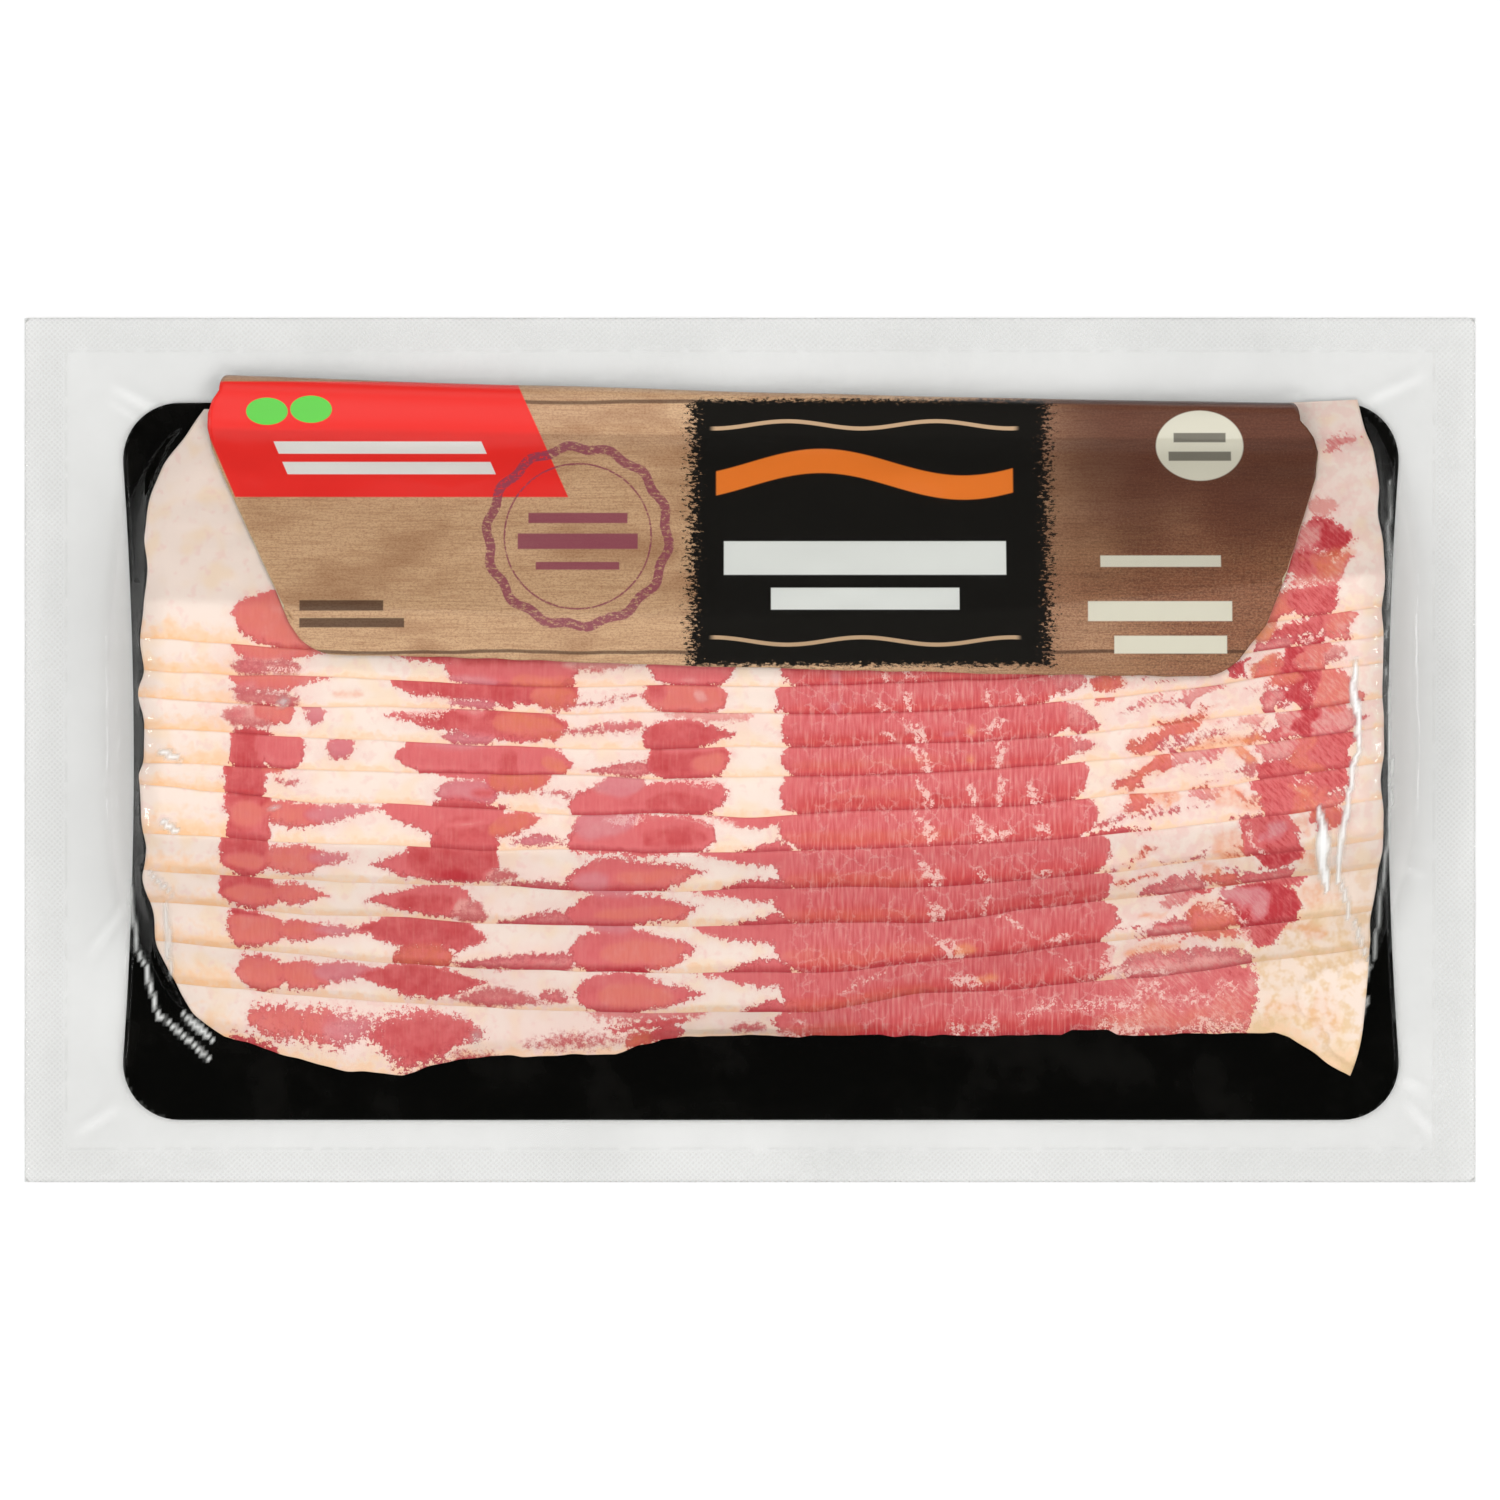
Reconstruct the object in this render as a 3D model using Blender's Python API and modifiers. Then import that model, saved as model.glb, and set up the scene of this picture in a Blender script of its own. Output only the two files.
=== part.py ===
"""A vacuum-sealed pack of sliced bacon, lying flat with its clear side up.

Twelve shingled slices lie on a card whose head is folded over the topmost slice as a flap,
and two clear webs are sealed to each other round the card. X runs along the slices, +Y from
the foot of the card to its fold, and Z up. The origin is at the middle of the underside.

The slices, the flap and the top web are laid out on one warped sheet of rows. Row k is the
line of the exposed edge of slice k, and s runs from 0 to 1 along the slices. All the layers
share that sheet, so each rests on the one below with an even gap.
"""

import math

import bmesh
import bpy

COLLECTION = "bacon_pack"
GAP = 0.0003  # clearance between neighbours

# Clear webs
WEB_LENGTH = 0.280
WEB_WIDTH = 0.1668
BASE_WEB_THICKNESS = 0.0003
TOP_WEB_THICKNESS = 0.0003
END_SEAL = 0.0075  # width of the seal at the pack's two short ends
SIDE_SEAL = 0.0055  # and along its two long sides
WEB_REACH = 0.0040  # how far past the card the top web comes down to the flange
WEB_HUG = 0.0008  # how far past the card's edge it turns
FLANGE_RIPPLE = 0.0004  # height of the flange's slight waves
RIPPLE_LENGTH = 0.037
FLANGE_RINGS = ("edge", "seal", "reach")
RINGS = (*FLANGE_RINGS, "hug")

# Card with its folded flap
CARD_THICKNESS = 0.0006
CARD_LEFT = -0.1219
CARD_RIGHT = 0.1261
CARD_FOOT = -0.0714
CARD_HEAD = 0.0670
CARD_CORNER = 0.0120
CARD_WAIST = 0.0030  # how far its side edges are drawn in at mid height
FOLD_LEFT = (-0.1007, 0.0692)
FOLD_RIGHT = (0.1043, 0.0662)
FOLD_STEPS = 4
FOLD_BULGE = 0.0024  # how far the fold stands past the line where the card turns
FLAP_LIP_LEFT = -0.0868  # where the flap's free edge starts and ends
FLAP_LIP_RIGHT = 0.0930
FLAP_LIP_ROW = 10.8
FLAP_CLEARANCE = 0.0005
FLAP_CELLS = 12

# Slices
SLICE_COUNT = 12
OVERLAP_ROWS = 6  # a slice is this many rows wide
SLICE_THICKNESS = 0.0036
NOSE_SHARE = 0.55  # of the thickness, left at the exposed edge
TAIL_SHARE = 0.35  # at the hidden edge
END_SHARE = 0.40  # at the two short ends
END_RUN = 0.06  # share of the length over which the ends thicken
STACK_LEFT = -0.1165
STACK_RIGHT = 0.1210
LEFT_ROUNDING = 0.0110  # how far the ends draw in at the first and last rows
RIGHT_ROUNDING = 0.0040
ROUNDING_POWER = 5

# Exposed edges at the middle of the pack, in millimetres, from the lowest slice to the topmost
ROW_EDGES_MM = (-55.4, -50.7, -42.9, -33.7, -26.8, -19.5, -12.5, -5.2, 0.3, 6.9, 12.0, 17.4)
HIDDEN_PITCH = 0.0071  # of the rows past the topmost edge
SAG_CENTRE = -0.0050
LEFT_RISE, LEFT_SPAN = 0.0030, 0.1010
RIGHT_RISE, RIGHT_SPAN = 0.0030, 0.0690
LAST_RISE_SHARE = 0.30

# The sheet of rows: stations along the slices and two lines in each row
STATIONS = (0.0, 0.02, 0.06, 0.20, 0.35, 0.50, 0.65, 0.80, 0.94, 0.98, 1.0)
LINE_STEPS = (0.0, 0.8)
LAST_ROW = SLICE_COUNT - 1 + OVERLAP_ROWS

FLANGE = BASE_WEB_THICKNESS + GAP
CARD_TOP = BASE_WEB_THICKNESS + GAP + CARD_THICKNESS
FLAP_LIFT = FLAP_CLEARANCE + CARD_THICKNESS + 2 * GAP  # of the top web over the flap


def make_material(name, colour, roughness, alpha=1.0):
    """A Principled material with one colour, roughness and opacity."""
    material = bpy.data.materials.new(name)
    material.use_nodes = True
    shader = material.node_tree.nodes["Principled BSDF"]
    shader.inputs["Base Color"].default_value = (*colour, 1.0)
    shader.inputs["Roughness"].default_value = roughness
    shader.inputs["Metallic"].default_value = 0.0
    shader.inputs["Alpha"].default_value = alpha
    material.diffuse_color = (*colour, alpha)
    return material


def add_object(name, bm, materials):
    """Turns a bmesh into a named object of the pack's collection."""
    mesh = bpy.data.meshes.new(name)
    bm.to_mesh(mesh)
    bm.free()
    for material in materials:
        mesh.materials.append(material)
    obj = bpy.data.objects.new(name, mesh)
    bpy.data.collections[COLLECTION].objects.link(obj)
    return obj


def sheet(columns, lines, place):
    """An open sheet of triangles with its corners at place(column, line)."""
    bm = bmesh.new()
    across, along = len(columns) - 1, len(lines) - 1
    bmesh.ops.create_grid(bm, x_segments=across, y_segments=along, size=0.5)
    bmesh.ops.triangulate(bm, faces=bm.faces, quad_method="FIXED")
    for vertex in bm.verts:
        column = round((vertex.co.x + 0.5) * across)
        line = round((vertex.co.y + 0.5) * along)
        vertex.co = place(columns[column], lines[line])
    return bm


def layer(columns, lines, low, high):
    """A closed layer between two sheets that share their grid, low below and high above."""
    above = {}

    def low_corner(column, line):
        corner = low(column, line)
        above[tuple(round(value, 6) for value in corner)] = high(column, line)
        return corner

    bm = sheet(columns, lines, low_corner)
    raised = bmesh.ops.extrude_face_region(bm, geom=bm.faces[:])["geom"]
    for item in raised:
        if isinstance(item, bmesh.types.BMVert):
            item.co = above[tuple(round(value, 6) for value in item.co)]
    bmesh.ops.recalc_face_normals(bm, faces=bm.faces)
    return bm


def row_edge(row):
    """Y of a row's line at the middle of the pack, between the named edges or past them."""
    last = len(ROW_EDGES_MM) - 1
    if row >= last:
        return ROW_EDGES_MM[last] / 1000 + (row - last) * HIDDEN_PITCH
    lower = int(row)
    share = row - lower
    return (ROW_EDGES_MM[lower] * (1 - share) + ROW_EDGES_MM[lower + 1] * share) / 1000


def row_rise(x, row):
    """How far a row's line has climbed at x. The first row is straight, the last nearly so."""
    if x < SAG_CENTRE:
        rise = LEFT_RISE * ((x - SAG_CENTRE) / LEFT_SPAN) ** 2
    else:
        rise = RIGHT_RISE * ((x - SAG_CENTRE) / RIGHT_SPAN) ** 2
    topmost = SLICE_COUNT - 1
    if row <= topmost:
        return rise * min(1.0, row)
    past = (row - topmost) / OVERLAP_ROWS
    return rise * (1 - past * (1 - LAST_RISE_SHARE))


def stack_point(s, row):
    """X and Y of a point of the sheet of rows."""
    bow = abs(2 * row / LAST_ROW - 1) ** ROUNDING_POWER
    left = STACK_LEFT + LEFT_ROUNDING * bow
    right = STACK_RIGHT - RIGHT_ROUNDING * bow
    x = left + s * (right - left)
    return x, row_edge(row) + row_rise(x, row)


def row_lines(first, last):
    """The grid lines from one row to another, two in each row."""
    return [k + step for k in range(first, last) for step in LINE_STEPS] + [last]


def slice_thickness(index, s, row):
    """Thickness of a slice, less towards its two long edges and its two ends."""
    near = NOSE_SHARE + (1 - NOSE_SHARE) * min(1.0, row - index)
    far = TAIL_SHARE + (1 - TAIL_SHARE) * min(1.0, index + OVERLAP_ROWS - row)
    inward = min(1.0, min(s, 1 - s) / END_RUN)
    end = END_SHARE + (1 - END_SHARE) * math.sin(inward * math.pi / 2)
    return SLICE_THICKNESS * min(near, far) * end


def pile_top(count, s, row):
    """Height of the pile that the first count slices make at a point of the sheet."""
    height = CARD_TOP
    for index in range(count):
        if index <= row <= index + OVERLAP_ROWS:
            height += GAP + slice_thickness(index, s, row)
    return height


def facet_top(s, row):
    """Height of the whole pile along a row, straight from one station to the next."""
    upper = next(k for k in range(1, len(STATIONS)) if STATIONS[k] >= s)
    start, end = STATIONS[upper - 1], STATIONS[upper]
    share = (s - start) / (end - start)
    low, high = pile_top(SLICE_COUNT, start, row), pile_top(SLICE_COUNT, end, row)
    return low + share * (high - low)


def make_slice(index, material):
    """One slice, between its underside on the pile and that raised by its thickness."""

    def underside(s, row):
        return (*stack_point(s, row), pile_top(index, s, row) + GAP)

    def upper_side(s, row):
        x, y, z = underside(s, row)
        return x, y, z + slice_thickness(index, s, row)

    lines = row_lines(index, index + OVERLAP_ROWS)
    bm = layer(STATIONS, lines, underside, upper_side)
    add_object(f"slice_{index + 1:02d}", bm, [material])


def card_sides(y):
    """X of the card's left and right edges at y, with round corners and a waist."""
    middle, half = (CARD_FOOT + CARD_HEAD) / 2, (CARD_HEAD - CARD_FOOT) / 2
    waist = CARD_WAIST * max(0.0, 1 - ((y - middle) / half) ** 2)
    past = max(CARD_FOOT + CARD_CORNER - y, y - CARD_HEAD + CARD_CORNER, 0.0)
    past = min(past, CARD_CORNER)
    inset = CARD_CORNER - math.sqrt(CARD_CORNER**2 - past**2) + waist
    return CARD_LEFT + inset, CARD_RIGHT - inset


def corner_rises():
    """Distances from the card's foot or head at which a round corner has its grid lines."""
    return [CARD_CORNER * (1 - math.cos(k * math.pi / 8)) for k in range(5)]


def panel_lines():
    """Y of the panel's grid lines, closer together round its corners."""
    foot = [CARD_FOOT + rise for rise in corner_rises()]
    head = [CARD_HEAD - rise for rise in reversed(corner_rises())]
    span = head[0] - foot[-1]
    return foot + [foot[-1] + span * k / 4 for k in (1, 2, 3)] + head


def fold_line(x):
    """Y at which the card turns over at x, and its continuation past the flap's sides."""
    (left, left_y), (right, right_y) = FOLD_LEFT, FOLD_RIGHT
    return left_y + (x - left) / (right - left) * (right_y - left_y)


def panel_point(column, y):
    """A corner of the card's panel. The outer columns are its sides, the others the flap's."""
    if column in (CARD_LEFT, CARD_RIGHT):
        return card_sides(y)[column == CARD_RIGHT], y, CARD_TOP
    return column, fold_line(column) if y == CARD_HEAD else y, CARD_TOP


def flap_point(u, row):
    """A corner of the flap's underside. U runs from 0 at its left side to 1 at its right."""
    narrowing = (LAST_ROW - row) / (LAST_ROW - FLAP_LIP_ROW)
    left = FOLD_LEFT[0] + narrowing * (FLAP_LIP_LEFT - FOLD_LEFT[0])
    right = FOLD_RIGHT[0] + narrowing * (FLAP_LIP_RIGHT - FOLD_RIGHT[0])
    start, end = stack_point(0, row)[0], stack_point(1, row)[0]
    s = (left + u * (right - left) - start) / (end - start)
    return (*stack_point(s, row), facet_top(s, row) + FLAP_CLEARANCE)


def fold_point(u, share):
    """A corner of the fold, a half turn from the panel's head (share 0) to the flap (1)."""
    x = FOLD_LEFT[0] + u * (FOLD_RIGHT[0] - FOLD_LEFT[0])
    radius = (flap_point(u, LAST_ROW)[2] - CARD_TOP) / 2
    turn = math.pi * share
    y = fold_line(x) + radius * math.sin(turn)
    return x, y, CARD_TOP + radius * (1 - math.cos(turn))


def fold_edges(bm):
    """The edges of the panel's head from which the fold grows."""
    ends = FOLD_LEFT[0] - GAP, FOLD_RIGHT[0] + GAP

    def on_fold(point):
        return ends[0] < point.x < ends[1] and abs(point.y - fold_line(point.x)) < GAP

    return [e for e in bm.edges if e.is_boundary and all(on_fold(v.co) for v in e.verts)]


def make_card(inside, outside):
    """The folded card: its inner face as one open sheet, thickened on the printed side."""
    shares = [k / FLAP_CELLS for k in range(FLAP_CELLS + 1)]
    columns = [FOLD_LEFT[0] + u * (FOLD_RIGHT[0] - FOLD_LEFT[0]) for u in shares]
    bm = sheet([CARD_LEFT, *columns, CARD_RIGHT], panel_lines(), panel_point)
    lines = [(fold_point, k / FOLD_STEPS) for k in range(1, FOLD_STEPS)]
    rows = [FLAP_LIP_ROW, *row_lines(SLICE_COUNT - 1, LAST_ROW)]
    lines += [(flap_point, row) for row in reversed(rows)]
    edges = fold_edges(bm)
    for place, value in lines:
        grown = bmesh.ops.extrude_edge_only(bm, edges=edges)["geom"]
        verts = {item for item in grown if isinstance(item, bmesh.types.BMVert)}
        edges = [e for e in bm.edges if e.verts[0] in verts and e.verts[1] in verts]
        for u, vertex in zip(shares, sorted(verts, key=lambda v: v.co.x)):
            vertex.co = place(u, value)
    bmesh.ops.recalc_face_normals(bm, faces=bm.faces)
    foot = min(bm.faces, key=lambda face: face.calc_center_median().y)
    if foot.normal.z < 0:
        bmesh.ops.reverse_faces(bm, faces=bm.faces)
    card = add_object("l_board", bm, [inside, outside])
    solid = card.modifiers.new("Thickness", "SOLIDIFY")
    solid.thickness = CARD_THICKNESS
    solid.offset = -1
    solid.material_offset = 1


def ring_places(outward, web_half, seal, widest, card_edge):
    """Coordinates of the top web's rings on the side that outward (1 or -1) points to."""
    return {
        "edge": outward * web_half,
        "seal": outward * (web_half - seal),
        "reach": widest + outward * WEB_REACH,
        "hug": card_edge + outward * WEB_HUG,
    }


def web_x(column, y, row):
    """X of a column of the top web, at a ring past the card or along the stack."""
    side, place = column
    if side == "stack":
        return stack_point(place, row)[0]
    left = min(card_sides(y)[0], stack_point(0, row)[0])
    right = max(card_sides(y)[1], stack_point(1, row)[0])
    if side == "left":
        return ring_places(-1, WEB_LENGTH / 2, END_SEAL, CARD_LEFT, left)[place]
    return ring_places(1, WEB_LENGTH / 2, END_SEAL, CARD_RIGHT, right)[place]


def web_y(line, s):
    """Y of a line of the top web at s along the stack, where 0 and 1 also serve past its ends."""
    side, place = line
    if side == "row":
        return stack_point(s, place)[1]
    if side == "panel":
        return place
    if side == "foot":
        return ring_places(-1, WEB_WIDTH / 2, SIDE_SEAL, CARD_FOOT, CARD_FOOT)[place]
    fold = fold_line(stack_point(s, LAST_ROW)[0]) + FOLD_BULGE
    return ring_places(1, WEB_WIDTH / 2, SIDE_SEAL, FOLD_LEFT[1] + FOLD_BULGE, fold)[place]


def flange_height(x, y):
    """Height of the top web's slightly wavy flange."""
    phase = 2 * math.pi * (x + 0.7 * y) / RIPPLE_LENGTH
    return FLANGE + FLANGE_RIPPLE * (1 + math.sin(phase)) / 2


def web_point(column, line):
    """A corner of the top web's underside. It lies on the flange, the card or the stack."""
    side, place = column
    s = place if side == "stack" else float(side == "right")
    row = {"row": line[1], "head": LAST_ROW}.get(line[0], 0)
    y = web_y(line, s)
    x = web_x(column, y, row)
    if place in FLANGE_RINGS or line[1] in FLANGE_RINGS:
        return x, y, flange_height(x, y)
    if side != "stack" or line[0] in ("foot", "panel"):
        return x, y, CARD_TOP + GAP
    lift = FLAP_LIFT if row >= FLAP_LIP_ROW else 0.0
    return x, y, pile_top(SLICE_COUNT, s, row) + GAP + lift


def make_top_web(material):
    """The top web, formed over the card and the stack down to a flat flange."""
    columns = [("left", ring) for ring in RINGS]
    columns += [("stack", s) for s in STATIONS]
    columns += [("right", ring) for ring in reversed(RINGS)]
    lines = [("foot", ring) for ring in RINGS]
    lines += [("panel", CARD_FOOT + rise) for rise in corner_rises()[2:]]
    lines += [("row", row) for row in row_lines(0, LAST_ROW)]
    lines += [("head", ring) for ring in reversed(RINGS)]

    def outer_side(column, line):
        x, y, z = web_point(column, line)
        upright = column[1] in ("hug", 0.0, 1.0)
        outward = math.copysign(TOP_WEB_THICKNESS, x) if upright else 0.0
        return x + outward, y, z + TOP_WEB_THICKNESS

    add_object("film_top", layer(columns, lines, web_point, outer_side), [material])


def make_base_web(material):
    """The base web, a flat rectangle of clear film."""
    bpy.ops.mesh.primitive_cube_add(size=1, location=(0, 0, BASE_WEB_THICKNESS / 2))
    web = bpy.context.object
    web.name = web.data.name = "film_base"
    web.scale = (WEB_LENGTH, WEB_WIDTH, BASE_WEB_THICKNESS)
    bpy.ops.object.transform_apply(location=False, rotation=False, scale=True)
    web.data.materials.append(material)
    for collection in web.users_collection:
        collection.objects.unlink(web)
    bpy.data.collections[COLLECTION].objects.link(web)


def main():
    """Clears the scene and builds the pack."""
    for obj in list(bpy.data.objects):
        bpy.data.objects.remove(obj)
    bpy.context.scene.collection.children.link(bpy.data.collections.new(COLLECTION))
    film = make_material("film", (0.80, 0.81, 0.79), 0.15, alpha=0.25)
    bacon = make_material("bacon", (0.62, 0.20, 0.17), 0.35)
    make_base_web(film)
    make_card(
        make_material("board_black", (0.009, 0.008, 0.007), 0.25),
        make_material("card_print", (0.40, 0.24, 0.15), 0.35),
    )
    for index in range(SLICE_COUNT):
        make_slice(index, bacon)
    make_top_web(film)


main()
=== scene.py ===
"""Looks of a vacuum pack of sliced bacon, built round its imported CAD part.

The pack is five sub-assemblies: the stack of slices, the folded card, the two clear webs, and
the studio. Slices, flap and upper web are laid out on one warped sheet of rows, as the CAD part
is: row k is the line of the exposed edge of slice k, and s runs from 0 to 1 along the slices.
Lengths are millimetres while a shape is worked out, and metres in the finished mesh.
"""

import logging
import math
from dataclasses import dataclass, field
from enum import Enum
from typing import Any

import bpy
import numpy as np
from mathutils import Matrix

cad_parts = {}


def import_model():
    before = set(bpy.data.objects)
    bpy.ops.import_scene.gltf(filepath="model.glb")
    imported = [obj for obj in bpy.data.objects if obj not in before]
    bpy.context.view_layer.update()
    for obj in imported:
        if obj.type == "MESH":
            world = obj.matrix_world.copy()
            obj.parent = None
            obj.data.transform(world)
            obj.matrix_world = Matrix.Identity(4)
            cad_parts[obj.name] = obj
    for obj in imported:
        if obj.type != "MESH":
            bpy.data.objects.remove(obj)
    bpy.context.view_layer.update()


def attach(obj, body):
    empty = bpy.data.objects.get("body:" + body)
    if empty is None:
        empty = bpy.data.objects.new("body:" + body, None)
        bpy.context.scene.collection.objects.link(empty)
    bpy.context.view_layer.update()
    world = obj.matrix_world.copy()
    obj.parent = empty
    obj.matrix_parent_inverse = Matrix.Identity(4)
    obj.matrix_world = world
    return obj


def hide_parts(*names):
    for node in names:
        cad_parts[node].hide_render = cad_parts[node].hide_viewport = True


Array = np.ndarray
Colour = tuple[float, float, float]

log = logging.getLogger("bacon_pack")

MM = 0.001
STUDIO_WHITE = 1.00  # how bright a white matt surface reads under the studio's lights


def linear(red: float, green: float, blue: float) -> Colour:
    """The linear colour of an sRGB one that is given from 0 to 255."""
    shares = (value / 255 for value in (red, green, blue))
    return tuple(v / 12.92 if v <= 0.04045 else ((v + 0.055) / 1.055) ** 2.4 for v in shares)


def matt(red: float, green: float, blue: float) -> Colour:
    """The base colour of a matt surface that reads as this sRGB colour in the studio."""
    return tuple(min(1.0, value / STUDIO_WHITE) for value in linear(red, green, blue))


@dataclass(frozen=True)
class Lattice:
    """Smooth noise from -1 to 1: random values on a square lattice, blended between its corners.

    Attributes:
        seed: picks the random values.
        size: corners along each side before the lattice repeats.
    """

    seed: int
    size: int = 61

    def __call__(self, x: Array, y: Array) -> Array:
        """The noise at points, whose lattice cells are one unit wide."""
        values = np.random.default_rng(self.seed).random((self.size, self.size)) * 2 - 1
        column, line = np.floor(x).astype(int), np.floor(y).astype(int)
        across, along = x - column, y - line
        across, along = (share * share * (3 - 2 * share) for share in (across, along))

        def corner(i: int, j: int) -> Array:
            return values[(column + i) % self.size, (line + j) % self.size]

        low = corner(0, 0) * (1 - across) + corner(1, 0) * across
        high = corner(0, 1) * (1 - across) + corner(1, 1) * across
        return low * (1 - along) + high * along


def smooth(low: float, high: float, value: Array) -> Array:
    """A smooth step from 0 at low to 1 at high."""
    share = np.clip((value - low) / (high - low), 0.0, 1.0)
    return share * share * (3 - 2 * share)


def add_mesh(name: str, points: Array, faces: Array, slots: Array, round_faces: Array) -> bpy.types.Object:
    """Puts points and faces into a new object.

    Args:
        name: the object's name.
        points: rows of x, y and z in millimetres.
        faces: rows of four corner numbers each.
        slots: the material slot of each face.
        round_faces: whether each face is shaded smooth.

    Returns:
        The object, at the origin.
    """
    mesh = bpy.data.meshes.new(name)
    mesh.vertices.add(len(points))
    mesh.vertices.foreach_set("co", (points * MM).astype(np.float32).ravel())
    mesh.loops.add(faces.size)
    mesh.loops.foreach_set("vertex_index", faces.astype(np.int32).ravel())
    mesh.polygons.add(len(faces))
    mesh.polygons.foreach_set("loop_start", np.arange(0, faces.size, 4, dtype=np.int32))
    mesh.polygons.foreach_set("use_smooth", round_faces)
    mesh.polygons.foreach_set("material_index", slots.astype(np.int32))
    mesh.update(calc_edges=True)
    mesh.validate()
    piece = bpy.data.objects.new(name, mesh)
    bpy.context.scene.collection.objects.link(piece)
    return piece


def shell(name: str, upper: Array, lower: Array, wall_slot: int = 0, lower_slot: int = 0) -> bpy.types.Object:
    """A closed shell between two sheets that share one grid.

    The upper sheet's faces look along the cross product of its first and second grid
    directions, the lower sheet's the other way, and walls join the sheets' four borders.

    Args:
        name: the object's name.
        upper: grid of points, columns by lines by three.
        lower: the same for the other side.
        wall_slot: material slot of the walls.
        lower_slot: material slot of the lower sheet.

    Returns:
        The object.
    """
    columns, lines = upper.shape[:2]
    number = np.arange(columns * lines).reshape(columns, lines)
    top = np.stack([number[:-1, :-1], number[1:, :-1], number[1:, 1:], number[:-1, 1:]], -1).reshape(-1, 4)
    ring = np.concatenate([number[:-1, 0], number[-1, :-1], number[:0:-1, -1], number[0, :0:-1]])
    after = np.roll(ring, -1)
    offset = columns * lines
    walls = np.stack([ring + offset, after + offset, after, ring], -1)
    faces = np.concatenate([top, top[:, ::-1] + offset, walls])
    slots = np.concatenate([np.zeros(len(top)), np.full(len(top), lower_slot), np.full(len(walls), wall_slot)])
    points = np.concatenate([upper.reshape(-1, 3), lower.reshape(-1, 3)])
    return add_mesh(name, points, faces, slots, np.arange(len(faces)) < 2 * len(top))


def set_attribute(piece: bpy.types.Object, name: str, values: Array) -> None:
    """Stores one number a point on a piece."""
    attribute = piece.data.attributes.new(name, "FLOAT", "POINT")
    attribute.data.foreach_set("value", values.astype(np.float32).ravel())


@dataclass(frozen=True)
class Signal:
    """An output socket in shader maths. Its operators add Math nodes."""

    nodes: "Nodes"
    socket: bpy.types.NodeSocket

    def math(self, operation: str, *others: Any, clamp: bool = False) -> "Signal":
        """A Math node of this signal and others."""
        settings = {"operation": operation, "use_clamp": clamp}
        values = dict(enumerate((self, *others)))
        return self.nodes.add("ShaderNodeMath", settings, values)

    def __add__(self, other: Any) -> "Signal":
        """The sum."""
        return self.math("ADD", other)

    __radd__ = __add__

    def __mul__(self, other: Any) -> "Signal":
        """The product."""
        return self.math("MULTIPLY", other)

    __rmul__ = __mul__

    def __sub__(self, other: Any) -> "Signal":
        """The difference."""
        return self.math("SUBTRACT", other)

    def __rsub__(self, other: Any) -> "Signal":
        """The difference from a number."""
        return self * -1.0 + other

    def __truediv__(self, other: Any) -> "Signal":
        """The quotient."""
        return self.math("DIVIDE", other)

    def __abs__(self) -> "Signal":
        """The absolute value."""
        return self.math("ABSOLUTE")

    def __pow__(self, power: float) -> "Signal":
        """A power."""
        return self.math("POWER", power)

    def least(self, other: Any) -> "Signal":
        """The smaller of two."""
        return self.math("MINIMUM", other)

    def most(self, other: Any) -> "Signal":
        """The larger of two."""
        return self.math("MAXIMUM", other)

    def sine(self) -> "Signal":
        """The sine."""
        return self.math("SINE")

    def held(self) -> "Signal":
        """The signal held between 0 and 1."""
        return self.math("ADD", 0.0, clamp=True)

    def step(self, low: float, high: float) -> "Signal":
        """A smooth step from 0 at low to 1 at high. Low may be the larger."""
        settings = {"interpolation_type": "SMOOTHSTEP", "clamp": True}
        if low < high:
            return self.nodes.add("ShaderNodeMapRange", settings, {0: self, 1: low, 2: high})
        return self.nodes.add("ShaderNodeMapRange", settings, {0: self, 1: high, 2: low, 3: 1.0, 4: 0.0})


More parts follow.
